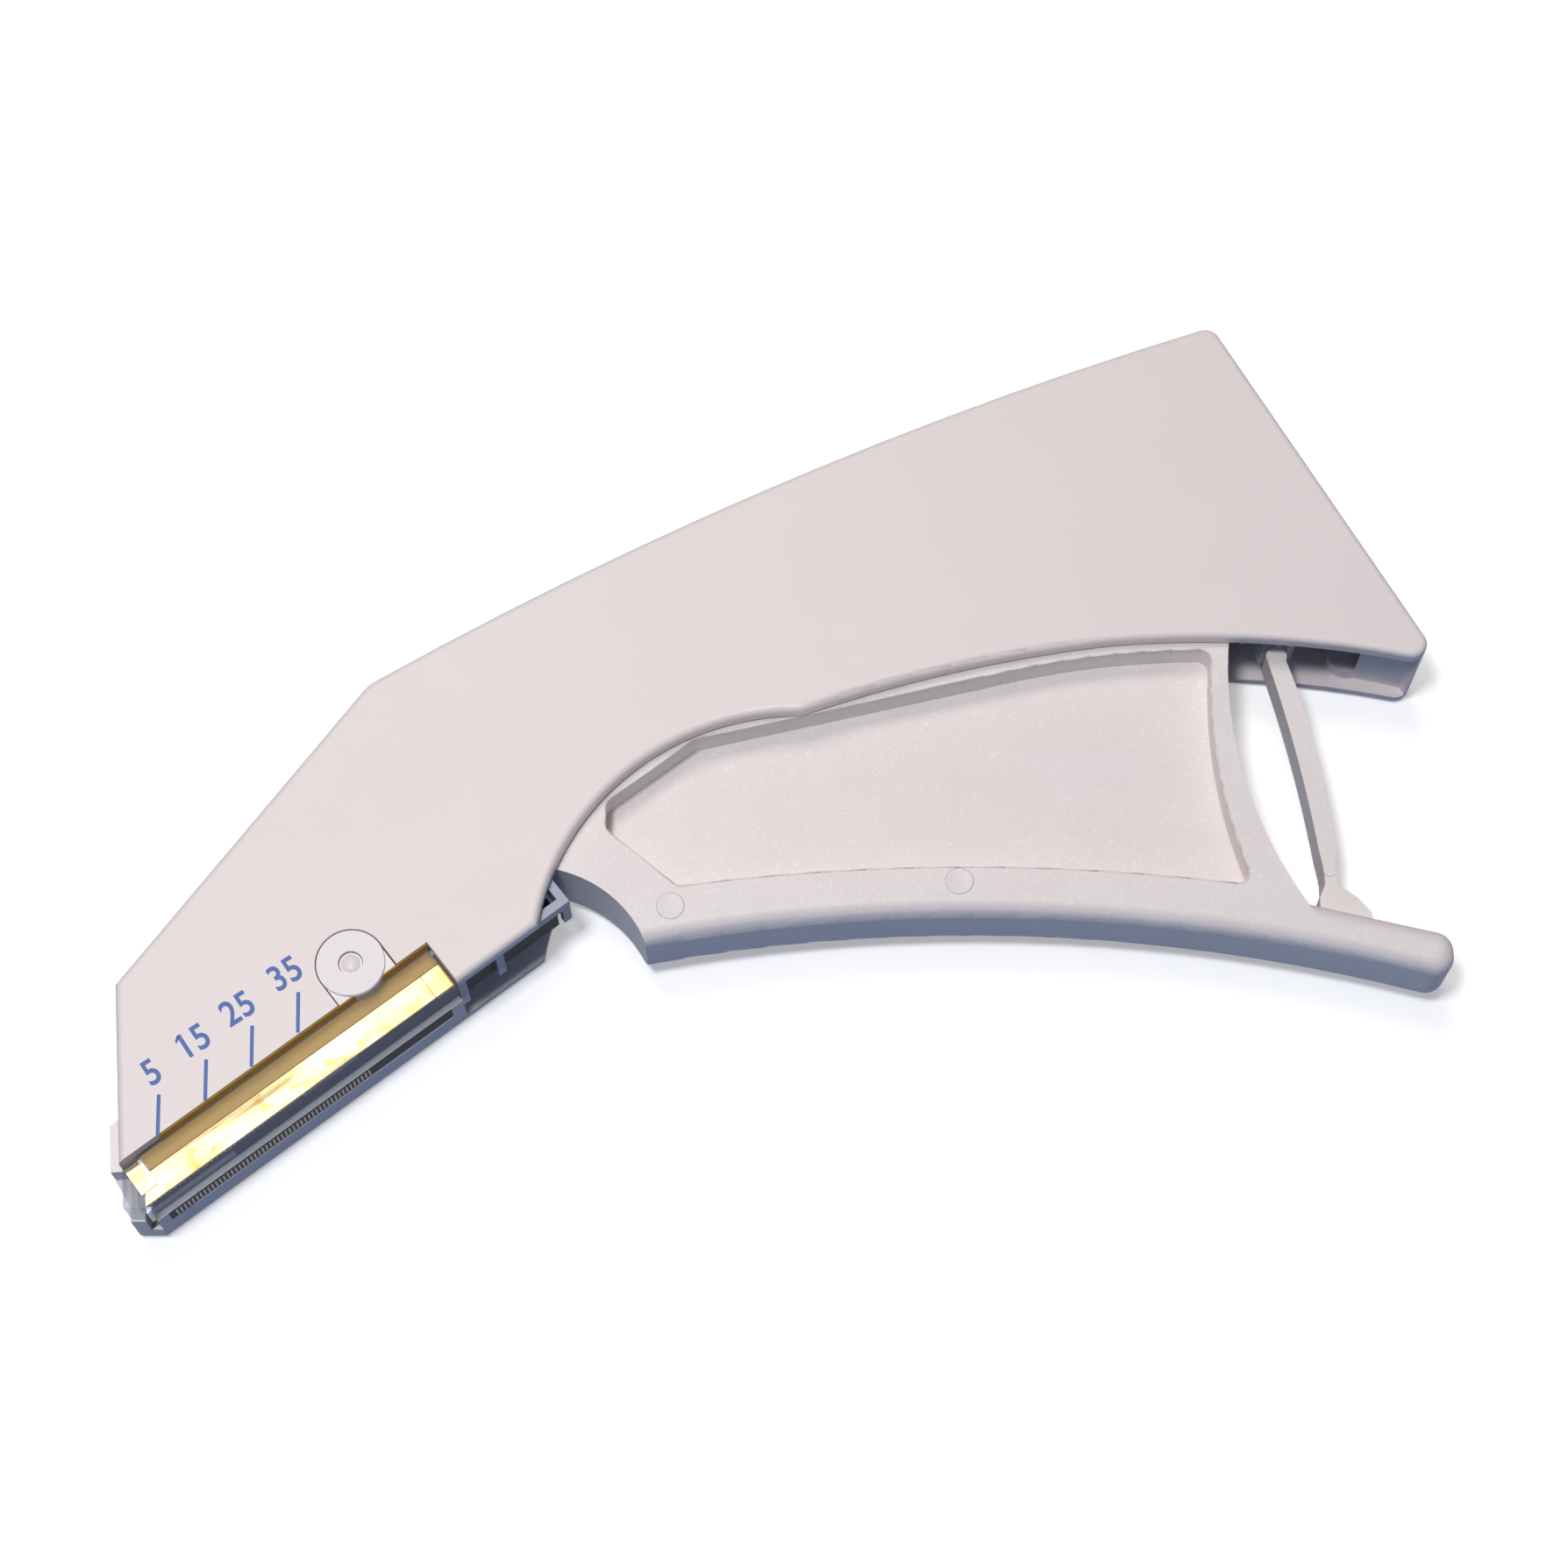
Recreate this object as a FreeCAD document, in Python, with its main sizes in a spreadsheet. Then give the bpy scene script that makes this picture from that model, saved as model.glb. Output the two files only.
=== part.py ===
import FreeCAD, Part
import math
import os
import Sketcher

# A disposable skin stapler, lying on its side. X runs from the nose to the tail, Y is up in
# use, and Z is the width. The origin is the trigger's pivot axis on the outside of the far shell.

doc = FreeCAD.newDocument("skin_stapler")

# Driving sizes, in millimetres and degrees
SIZES = {
    # housing
    "shell_wall": 1.8,
    "edge_round": 0.8,
    "corner_round": 2.0,
    "tip_x": -41.5,
    "tip_y": -44.5,
    "nose_height": 27.4,
    "drive_tilt": 5.5,
    "brow_x": -15.7,
    "brow_y": 22.0,
    "brow_round": 5.0,
    "crown_radius": 512.0,
    "tail_top_x": 91.7,
    "tail_top_y": 72.9,
    "tail_low_x": 118.3,
    "tail_low_y": 24.8,
    "under_x": 76.0,
    "under_y": 27.8,
    "under_rear_radius": 124.7,
    "under_front_radius": 172.0,
    "notch_x": 38.2,
    "notch_y": 18.35,
    "notch_radius": 32.1,
    "heel_x": 6.2,
    "heel_y": -9.7,
    "keel_wall": 0.8,
    "pad_reach": 1.6,
    "pad_half": 3.5,
    "pad_low": 5.0,
    "pad_high": 11.7,
    # joining posts of the two shells
    "post_radius": 2.6,
    "post_pin_radius": 1.1,
    "post_pin_length": 4.0,
    "brow_post_x": -14.0,
    "brow_post_y": 15.5,
    "crown_post_x": 38.0,
    "crown_post_y": 45.0,
    "spine_post_x": 75.0,
    "spine_post_y": 61.0,
    "tail_post_x": 108.2,
    "tail_post_y": 30.8,
    "tail_post_radius": 2.4,
    "tail_post_height": 2.0,
    # clearances
    "side_gap": 0.3,
    "fit_gap": 0.1,
    "pin_gap": 0.04,
    # magazine, in its own frame: length from the keel corner, height above the keel line
    "magazine_angle": 38.0,
    "window_length": 44.75,
    "window_height": 6.3,
    "channel_top": 5.3,
    "channel_half": 4.6,
    "channel_side_room": 2.8,
    "channel_wall": 0.6,
    "bracket_length": 2.95,
    "track_half": 2.4,
    "track_low": 1.45,
    "track_high": 3.85,
    "track_wall": 0.5,
    "track_inset": 1.5,
    "plug_length": 3.2,
    "rod_radius": 0.4,
    "rod_height": 2.9,
    "roof_thickness": 0.7,
    "block_overhang": 5.18,
    "block_top": 4.7,
    "block_wall": 1.1,
    "block_rail": 1.8,
    "block_step": 5.6,
    "cover_wall": 1.5,
    "cover_recess": 0.9,
    "cover_bevel": 0.7,
    "ring_x": 36.0,
    "ring_y": 9.8,
    "ring_radius": 4.1,
    "ring_pin_radius": 1.4,
    "ring_step": 0.4,
    # staples
    "staple_count": 34,
    "wire": 0.53,
    "staple_pitch": 0.66,
    "crown_width": 6.9,
    "leg_length": 3.9,
    "crown_height": 4.65,
    "follower_length": 5.4,
    # driver
    "blade_thickness": 0.58,
    "blade_half": 3.55,
    "blade_bottom": 7.9,
    "blade_top": 26.2,
    "anvil_half": 2.0,
    "anvil_top": 4.2,
    "anvil_depth": 1.3,
    "anvil_length": 12.0,
    "anvil_plate": 0.5,
    "carrier_low": 21.0,
    "carrier_high": 32.6,
    "carrier_back": 15.2,
    "carrier_web": 3.0,
    "guide_low": 8.8,
    "guide_high": 12.6,
    "guide_depth": 2.0,
    "rail_low": 17.0,
    # trigger
    "pivot_radius": 2.0,
    "boss_radius": 4.0,
    "boss_height": 2.4,
    "hub_radius": 6.0,
    "arm_x": -35.0,
    "arm_y": -15.5,
    "arm_half": 2.5,
    "arm_end_radius": 2.6,
    "arm_height": 6.0,
    "arm_elbow_x": -20.0,
    "arm_elbow_y": -7.2,
    "drive_pin_radius": 1.2,
    "squeeze_angle": 13.0,
    "finger_x": 19.2,
    "finger_y": -11.2,
    "finger_radius": 15.65,
    "grip_radius": 211.0,
    "tail_x": 117.3,
    "tail_under": -15.6,
    "tail_over": -9.85,
    "tail_round": 2.4,
    "rib_foot_x": 99.3,
    "rib_foot_y": -5.6,
    "rib_top_x": 92.0,
    "rib_top_y": 29.8,
    "rib_radius": 53.5,
    "ridge_x": 36.0,
    "ridge_y": 21.0,
    "ridge_radius": 110.0,
    "shoulder_x": 15.0,
    "shoulder_y": 12.6,
    "recess_depth": 4.1,
    "recess_nose_x": 14.0,
    "recess_nose_low": 3.4,
    "recess_nose_high": 7.0,
    "recess_chin_x": 23.0,
    "recess_chin_y": -4.1,
    "recess_heel_x": 93.5,
    "recess_heel_y": -4.0,
    "recess_floor_radius": 255.0,
    "recess_back_radius": 68.0,
    "recess_top_x": 89.7,
    "recess_top_y": 27.6,
    "recess_roof_radius": 107.0,
    "recess_crest_x": 61.0,
    "recess_crest_y": 23.9,
    "recess_brow_x": 24.9,
    "recess_brow_y": 15.4,
    "recess_round": 1.4,
    "grip_round": 2.2,
    # rear strut and its spring
    "strut_half": 2.3,
    "neck_x": 103.1,
    "neck_y": -0.9,
    "neck_radius": 0.75,
    "foot_back": 1.4,
    "foot_step_x": 1.0,
    "foot_step_y": 1.9,
    "foot_ramp_x": 3.2,
    "foot_ramp_y": 3.5,
    "foot_toe_x": 4.9,
    "foot_toe_y": 5.5,
    "strut_head_x": 98.2,
    "strut_head_y": 28.0,
    "strut_head_radius": 1.3,
    "strut_width": 2.8,
    "strut_bow_radius": 98.0,
    "strut_front_radius": 190.0,
    "channel_lean": 16.0,
    "plunger_left": 2.2,
    "plunger_right": 2.8,
    "plunger_height": 6.5,
    "plunger_stem": 4.0,
    "plunger_half": 4.4,
    "guide_rib": 1.0,
    "spring_radius": 1.75,
    "spring_wire": 0.5,
    "spring_turns": 12,
    "spring_length": 28.0,
    "feed_spring_radius": 0.75,
    "feed_spring_wire": 0.3,
    "feed_spring_turns": 22,
}

sheet = doc.addObject("Spreadsheet::Sheet", "sizes")
for row, (name, number) in enumerate(SIZES.items(), start=1):
    sheet.set(f"A{row}", name)
    sheet.set(f"B{row}", str(number))
    sheet.setAlias(f"B{row}", name)
doc.recompute()


class Size:
    """A number with the sheet expression that gives it, so that sums stay bound to the sheet."""

    def __init__(self, value, text):
        self.value = float(value)
        self.text = text

    def __add__(self, other):
        other = as_size(other)
        return Size(self.value + other.value, f"({self.text} + {other.text})")

    def __radd__(self, other):
        return as_size(other) + self

    def __sub__(self, other):
        other = as_size(other)
        return Size(self.value - other.value, f"({self.text} - {other.text})")

    def __rsub__(self, other):
        return as_size(other) - self

    def __mul__(self, other):
        other = as_size(other)
        return Size(self.value * other.value, f"({self.text} * {other.text})")

    def __rmul__(self, other):
        return as_size(other) * self

    def __truediv__(self, other):
        other = as_size(other)
        return Size(self.value / other.value, f"({self.text} / {other.text})")

    def __neg__(self):
        return Size(-self.value, f"(0 - {self.text})")


def as_size(number):
    """A Size from a Size or a plain number."""
    if isinstance(number, Size):
        return number
    return Size(number, f"({number})")


def root(size):
    """The square root of a Size."""
    return Size(math.sqrt(size.value), f"sqrt({size.text})")


def sine(size):
    """The sine of a Size in degrees."""
    return Size(math.sin(math.radians(size.value)), f"sin({size.text} * 1 deg)")


def cosine(size):
    """The cosine of a Size in degrees."""
    return Size(math.cos(math.radians(size.value)), f"cos({size.text} * 1 deg)")


class Sheet:
    """The sheet's cells as Sizes, by name."""

    def __getattr__(self, name):
        return Size(SIZES[name], f"sizes.{name}")


d = Sheet()
zero = as_size(0)
body_width = (d.channel_half + d.channel_side_room) * 2
half = body_width / 2
inner_low = d.shell_wall
inner_high = body_width - d.shell_wall


class Frame:
    """A plane frame turned about Z, whose points can be asked for in the part's own frame."""

    def __init__(self, x, y, angle):
        self.x = as_size(x)
        self.y = as_size(y)
        self.angle = as_size(angle)
        self.cos = cosine(self.angle)
        self.sin = sine(self.angle)

    def out(self, x, y):
        """The part-frame point of a point of this frame."""
        return (self.x + self.cos * x - self.sin * y, self.y + self.sin * x + self.cos * y)

    def into(self, x, y):
        """The point of this frame that a part-frame point is."""
        away_x = x - self.x
        away_y = y - self.y
        return (self.cos * away_x + self.sin * away_y, self.cos * away_y - self.sin * away_x)


world = Frame(0, 0, 0)
drive = Frame(d.tip_x, d.tip_y, d.drive_tilt)
keel_x = d.heel_x - (d.heel_y - d.tip_y) * cosine(d.magazine_angle) / sine(d.magazine_angle)
magazine = Frame(keel_x, d.tip_y, d.magazine_angle)
strut_channel = Frame(d.strut_head_x, d.strut_head_y, d.channel_lean)
lean = d.magazine_angle - d.drive_tilt


def drive_at_height(x, height):
    """The magazine-frame point at a height above the keel line, a depth x behind the nose front."""
    start = magazine.into(*drive.out(x, 0))
    rise = height - start[1]
    return (start[0] + rise * sine(lean) / cosine(lean), height)


def drive_to_magazine(x, y):
    """The magazine-frame point of a drive-frame point."""
    return magazine.into(*drive.out(x, y))


def bind(thing, prop, size):
    """Binds a property to a Size."""
    thing.setExpression(prop, as_size(size).text)


class Arc:
    """An outline's stretch from the point before it to the one after it: a radius, and which
    side of the way along the centre lies on, 1 for left and -1 for right."""

    def __init__(self, radius, side):
        self.radius = as_size(radius)
        self.side = side


def add_loop(sketch, outline):
    """Adds a closed outline of points and arcs to a sketch, with every point and radius bound."""
    corners = []
    arcs = {}
    for item in outline:
        if isinstance(item, Arc):
            arcs[len(corners) - 1] = item
        else:
            corners.append((as_size(item[0]), as_size(item[1])))
    ends = []
    for i, (ax, ay) in enumerate(corners):
        bx, by = corners[(i + 1) % len(corners)]
        start = FreeCAD.Vector(ax.value, ay.value, 0)
        end = FreeCAD.Vector(bx.value, by.value, 0)
        if i not in arcs:
            geo = sketch.addGeometry(Part.LineSegment(start, end), False)
            ends.append((geo, 1, 2))
            continue
        arc = arcs[i]
        chord = end - start
        across = FreeCAD.Vector(-chord.y, chord.x, 0).normalize()
        depth = math.sqrt(arc.radius.value**2 - chord.Length**2 / 4)
        centre = (start + end) * 0.5 + across * depth * arc.side
        from_a = math.atan2(start.y - centre.y, start.x - centre.x)
        from_b = math.atan2(end.y - centre.y, end.x - centre.x)
        circle = Part.Circle(centre, FreeCAD.Vector(0, 0, 1), arc.radius.value)
        if arc.side > 0:
            geo = sketch.addGeometry(Part.ArcOfCircle(circle, from_a, from_b), False)
            ends.append((geo, 1, 2))
        else:
            geo = sketch.addGeometry(Part.ArcOfCircle(circle, from_b, from_a), False)
            ends.append((geo, 2, 1))
    for i, (geo, first, last) in enumerate(ends):
        following = ends[(i + 1) % len(ends)]
        sketch.addConstraint(Sketcher.Constraint("Coincident", geo, last, following[0], following[1]))
    for i, (geo, first, last) in enumerate(ends):
        for kind, size in zip(("DistanceX", "DistanceY"), corners[i]):
            n = sketch.addConstraint(Sketcher.Constraint(kind, -1, 1, geo, first, size.value))
            bind(sketch, f"Constraints[{n}]", size)
        if i in arcs:
            radius = arcs[i].radius
            n = sketch.addConstraint(Sketcher.Constraint("Radius", geo, radius.value))
            bind(sketch, f"Constraints[{n}]", radius)


class Circle:
    """A circle of a sketch, by its centre and radius."""

    def __init__(self, x, y, radius):
        self.x = as_size(x)
        self.y = as_size(y)
        self.radius = as_size(radius)


def add_circle(sketch, ring):
    """Adds a circle to a sketch, with its centre and radius bound."""
    centre = FreeCAD.Vector(ring.x.value, ring.y.value, 0)
    shape = Part.Circle(centre, FreeCAD.Vector(0, 0, 1), ring.radius.value)
    geo = sketch.addGeometry(shape, False)
    for kind, size in (("DistanceX", ring.x), ("DistanceY", ring.y)):
        n = sketch.addConstraint(Sketcher.Constraint(kind, -1, 1, geo, 3, size.value))
        bind(sketch, f"Constraints[{n}]", size)
    n = sketch.addConstraint(Sketcher.Constraint("Radius", geo, ring.radius.value))
    bind(sketch, f"Constraints[{n}]", ring.radius)


def fill_sketch(sketch, loops):
    """Draws outlines and circles in a sketch."""
    for loop in loops:
        if isinstance(loop, Circle):
            add_circle(sketch, loop)
        else:
            add_loop(sketch, loop)
    return sketch


def plane_of(body, role):
    """One of a body's own origin planes."""
    for feature in body.Origin.OriginFeatures:
        if feature.Role == role:
            return feature


def new_body(label, frame=world):
    """An empty body standing in a frame."""
    body = doc.addObject("PartDesign::Body", label)
    body.Label = label
    body.Placement = FreeCAD.Placement(
        FreeCAD.Vector(0, 0, 0), FreeCAD.Rotation(FreeCAD.Vector(0, 0, 1), frame.angle.value)
    )
    if frame is not world:
        bind(body, "Placement.Base.x", frame.x)
        bind(body, "Placement.Base.y", frame.y)
        body.setExpression("Placement.Rotation.Angle", f"{frame.angle.text} * 1 deg")
    return body


def body_sketch(body, loops, level, role="XY_Plane"):
    """A sketch of a body on one of its planes, raised to a level."""
    sketch = body.newObject("Sketcher::SketchObject", "outline")
    sketch.AttachmentSupport = [(plane_of(body, role), "")]
    sketch.MapMode = "FlatFace"
    bind(sketch, "AttachmentOffset.Base.z", level)
    return fill_sketch(sketch, loops)


def pad(body, loops, low, high):
    """Adds material between two levels of Z."""
    low = as_size(low)
    sketch = body_sketch(body, loops, low)
    feature = body.newObject("PartDesign::Pad", "pad")
    feature.Profile = sketch
    bind(feature, "Length", as_size(high) - low)
    doc.recompute()
    return feature


def pocket(body, loops, low, high):
    """Takes material away between two levels of Z."""
    before = body.Shape.Volume
    high = as_size(high)
    sketch = body_sketch(body, loops, high)
    feature = body.newObject("PartDesign::Pocket", "pocket")
    feature.Profile = sketch
    bind(feature, "Length", high - low)
    doc.recompute()
    if not body.Shape.Volume < before:
        raise RuntimeError(f"a pocket of {body.Label} takes nothing away")
    return feature


def bore_along(body, y, z, radius):
    """Drills through a body along its own X axis."""
    before = body.Shape.Volume
    sketch = body_sketch(body, [Circle(y, z, radius)], zero, "YZ_Plane")
    feature = body.newObject("PartDesign::Pocket", "bore")
    feature.Profile = sketch
    feature.Type = "ThroughAll"
    feature.Midplane = True
    doc.recompute()
    if not body.Shape.Volume < before:
        raise RuntimeError(f"a bore of {body.Label} takes nothing away")
    return feature


def edge_names(shape, wanted):
    """The names of a shape's edges that a test picks out."""
    return [f"Edge{i}" for i, edge in enumerate(shape.Edges, start=1) if wanted(edge)]


def near(a, b):
    """Whether two numbers are the same length."""
    return abs(a - b) < 1e-4


def upright_at(points):
    """A test for edges that stand at any of the given points."""
    spots = [(as_size(x), as_size(y)) for x, y in points]

    def wanted(edge):
        a = edge.Vertexes[0].Point
        b = edge.Vertexes[-1].Point
        standing = near(a.x, b.x) and near(a.y, b.y) and not near(a.z, b.z)
        return standing and any(near(a.x, x.value) and near(a.y, y.value) for x, y in spots)

    return wanted


def level_at(height):
    """A test for edges that lie at one level of Z."""

    def wanted(edge):
        flat = all(near(v.Point.z, height.value) for v in edge.Vertexes)
        return flat and near(edge.BoundBox.ZMin, edge.BoundBox.ZMax)

    return wanted


def dress(body, kind, size, wanted):
    """Rounds or bevels the edges of a body that a test picks out."""
    doc.recompute()
    base = body.Tip
    names = edge_names(base.Shape, wanted)
    if not names:
        raise RuntimeError(f"no edge of {body.Label} to dress")
    feature = body.newObject(f"PartDesign::{kind}", kind.lower())
    feature.Base = (base, names)
    bind(feature, "Radius" if kind == "Fillet" else "Size", size)
    doc.recompute()
    return feature


def block(left, bottom, right, top):
    """A rectangle's outline."""
    return [(left, bottom), (right, bottom), (right, top), (left, top)]


# Housing: two shells that meet at the middle of the width
nose_top = drive.out(0, d.nose_height)
keel = (keel_x, d.tip_y)
channel_end = d.window_length - d.bracket_length
block_end = magazine.into(d.heel_x, d.heel_y)[0] + d.block_overhang
track_end = block_end - d.track_inset
brow = (d.brow_x, d.brow_y)
tail_top = (d.tail_top_x, d.tail_top_y)
tail_low = (d.tail_low_x, d.tail_low_y)
HOUSING = [
    (d.tip_x, d.tip_y),
    nose_top,
    brow,
    Arc(d.crown_radius, -1),
    tail_top,
    tail_low,
    Arc(d.under_rear_radius, 1),
    (d.under_x, d.under_y),
    Arc(d.under_front_radius, 1),
    (d.notch_x, d.notch_y),
    Arc(d.notch_radius, 1),
    (d.heel_x, d.heel_y),
    keel,
]

housing_outline = doc.addObject("Sketcher::SketchObject", "housing_outline")
fill_sketch(housing_outline, [HOUSING])
cavity_outline = doc.addObject("Part::Offset2D", "cavity_outline")
cavity_outline.Source = housing_outline
cavity_outline.Join = "Intersection"
bind(cavity_outline, "Value", -d.shell_wall)
doc.recompute()


def slab(name, base, low, high):
    """A flat outline extruded between two levels of Z."""
    feature = doc.addObject("Part::Extrusion", name)
    feature.Base = base
    feature.DirMode = "Custom"
    feature.Dir = FreeCAD.Vector(0, 0, 1)
    feature.Solid = True
    bind(feature, "LengthFwd", high)
    bind(feature, "LengthRev", -as_size(low))
    return feature


def shape_sketch(name, loops, frame=world):
    """A sketch of the document, standing in a frame."""
    sketch = doc.addObject("Sketcher::SketchObject", name)
    sketch.Placement = FreeCAD.Placement(
        FreeCAD.Vector(0, 0, 0), FreeCAD.Rotation(FreeCAD.Vector(0, 0, 1), frame.angle.value)
    )
    if frame is not world:
        bind(sketch, "Placement.Base.x", frame.x)
        bind(sketch, "Placement.Base.y", frame.y)
        sketch.setExpression("Placement.Rotation.Angle", f"{frame.angle.text} * 1 deg")
    return fill_sketch(sketch, loops)


def piece(name, loops, low, high, frame=world):
    """A plate with the given outlines, between two levels of Z."""
    return slab(name, shape_sketch(f"{name}_sketch", loops, frame), low, high)


def fuse(name, parts):
    """One solid of several."""
    feature = doc.addObject("Part::MultiFuse", name)
    feature.Shapes = parts
    feature.Refine = True
    return feature


def cut(name, base, tool):
    """A solid less another."""
    feature = doc.addObject("Part::Cut", name)
    feature.Base = base
    feature.Tool = tool
    feature.Refine = True
    return feature


# The tail wall's direction, for the end of the mouth
tail_run_x = d.tail_top_x - d.tail_low_x
tail_run_y = d.tail_top_y - d.tail_low_y
tail_run = root(tail_run_x * tail_run_x + tail_run_y * tail_run_y)
tail_ux = tail_run_x / tail_run
tail_uy = tail_run_y / tail_run


def tail_wall(along):
    """A point of the tail wall's inner face, so far along it from the low corner."""
    return (
        d.tail_low_x + tail_ux * along - tail_uy * d.shell_wall,
        d.tail_low_y + tail_uy * along + tail_ux * d.shell_wall,
    )


mouth_depth = d.shell_wall * 2
MOUTH = [
    magazine.out(d.window_length, -d.shell_wall * 2),
    magazine.out(d.window_length, d.shell_wall * 2),
    (d.heel_x - mouth_depth, d.heel_y + d.shell_wall),
    Arc(d.notch_radius + mouth_depth, -1),
    (d.notch_x, d.notch_y + mouth_depth),
    Arc(d.under_front_radius + mouth_depth, -1),
    (d.under_x, d.under_y + mouth_depth),
    Arc(d.under_rear_radius + mouth_depth, -1),
    tail_wall(mouth_depth),
    tail_wall(-mouth_depth),
    (d.under_x, d.under_y - mouth_depth),
    (d.notch_x + mouth_depth, d.notch_y - mouth_depth),
    (d.heel_x + mouth_depth, d.heel_y - mouth_depth),
]

wall_x = d.shell_wall
exit_half = d.blade_half + d.fit_gap * 2
blade_front = d.shell_wall + d.fit_gap
blade_back = blade_front + d.blade_thickness
throat_back = blade_back + d.fit_gap
KEEL_ROOM = [
    drive_at_height(wall_x, d.keel_wall),
    (d.window_length, d.keel_wall),
    (d.window_length, d.keel_wall + d.shell_wall * 2),
    drive_at_height(wall_x, d.keel_wall + d.shell_wall * 2),
]
EXIT = block(wall_x, -d.shell_wall, throat_back + d.wire + d.fit_gap, d.shell_wall)
PAD = [
    (0, d.pad_low - d.pad_reach * 2),
    (-d.pad_reach, d.pad_low),
    (-d.pad_reach, d.pad_high - d.pad_reach / 2),
    (0, d.pad_high + d.pad_reach / 4),
    (d.shell_wall / 2, d.pad_high),
    (d.shell_wall / 2, d.pad_low - d.pad_reach * 2),
]
POSTS = [
    (d.brow_post_x, d.brow_post_y),
    (d.crown_post_x, d.crown_post_y),
    (d.spine_post_x, d.spine_post_y),
]
TAIL_POST = Circle(d.tail_post_x, d.tail_post_y, d.tail_post_radius)
rib_left = d.plunger_left + d.fit_gap * 2
rib_right = d.plunger_right + d.fit_gap * 2
plunger_low = d.strut_head_radius + d.fit_gap
plunger_high = plunger_low + d.plunger_height
spring_low = plunger_high + d.fit_gap
seat_low = spring_low + d.spring_length + d.fit_gap
seat_high = seat_low + d.guide_rib
RIBS = [
    block(-rib_left - d.guide_rib, plunger_high + d.fit_gap * 10, -rib_left, seat_high),
    block(rib_right, plunger_low + d.fit_gap * 10, rib_right + d.guide_rib, seat_high),
    block(-rib_left - d.guide_rib, seat_low, rib_right + d.guide_rib, seat_high),
]
carrier_rail = d.carrier_back + d.fit_gap * 2
RAIL = block(carrier_rail, d.rail_low, carrier_rail + d.guide_rib, d.carrier_high)
ring_at = magazine.out(d.ring_x, d.ring_y)
keyhole_radius = d.ring_radius + d.fit_gap * 2
WINDOW = [
    (-d.window_height, -d.window_height),
    (d.window_length, -d.window_height),
    (d.window_length, d.window_height),
    (d.ring_x + keyhole_radius, d.window_height),
    (d.ring_x + keyhole_radius, d.ring_y),
    Arc(keyhole_radius, 1),
    (d.ring_x, d.ring_y + keyhole_radius),
    Arc(keyhole_radius, 1),
    (d.ring_x - keyhole_radius, d.ring_y),
    (d.ring_x - keyhole_radius, d.window_height),
    (-d.window_height, d.window_height),
]


def rounded_block(name, low, high, face):
    """Half of the housing as a solid block, with its corners and its outer face's edge rounded."""
    base = slab(f"{name}_block", housing_outline, low, high)
    doc.recompute()
    corners = doc.addObject("Part::Fillet", f"{name}_corners")
    corners.Base = base
    rounds = ((brow, d.brow_round), (tail_top, d.corner_round), (tail_low, d.corner_round))
    edges = []
    for spot, radius in rounds:
        for edge in edge_names(base.Shape, upright_at([spot])):
            edges.append((int(edge[4:]), radius.value, radius.value))
    corners.Edges = edges
    doc.recompute()
    rim = doc.addObject("Part::Fillet", f"{name}_rim")
    rim.Base = corners
    names = edge_names(corners.Shape, level_at(as_size(face)))
    radius = min(d.edge_round.value, d.shell_wall.value * 0.9)
    rim.Edges = [(int(edge[4:]), radius, radius) for edge in names]
    doc.recompute()
    return rim


def far_shell():
    """The shell that the stapler lies on, with the posts' sockets and the magazine's long pin."""
    room = fuse("far_room", [
        slab("far_cavity", cavity_outline, inner_low, half),
        piece("far_mouth", [MOUTH], inner_low, half),
        piece("far_keel_room", [KEEL_ROOM], inner_low, half, magazine),
        piece("far_exit", [EXIT], half - exit_half, half, drive),
    ])
    walls = cut("far_walls", rounded_block("far", zero, half, 0), room)
    pad_low = half - d.pad_half
    solids = [walls]
    solids += [piece("far_pad", [PAD], pad_low, half, drive)]
    solids += [piece("far_posts", [Circle(x, y, d.post_radius)], inner_low - d.fit_gap, half)
               for x, y in POSTS]
    solids += [piece("far_tail_post", [TAIL_POST], inner_low - d.fit_gap,
                     inner_low + d.tail_post_height)]
    solids += [piece("far_pivot_boss", [Circle(0, 0, d.boss_radius)], inner_low - d.fit_gap,
                     inner_low + d.boss_height)]
    solids += [piece("far_ring_pin", [Circle(ring_at[0], ring_at[1], d.ring_pin_radius)],
                     inner_low - d.fit_gap, body_width - d.ring_step)]
    solids += [piece("far_rib", [rib], inner_low - d.fit_gap, half, strut_channel) for rib in RIBS]
    solids += [piece("far_rail", [RAIL], inner_low - d.fit_gap, inner_low + d.boss_height, drive)]
    holes = [piece("far_socket", [Circle(x, y, d.post_pin_radius + d.fit_gap)],
                   half - d.post_pin_length - d.fit_gap, half) for x, y in POSTS]
    holes += [piece("far_pivot_bore", [Circle(0, 0, d.pivot_radius + d.pin_gap)],
                    d.shell_wall / 2, half)]
    shell = cut("far_shell", fuse("far_solid", solids), fuse("far_holes", holes))
    shell.Label = "far_shell"
    return shell


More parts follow.
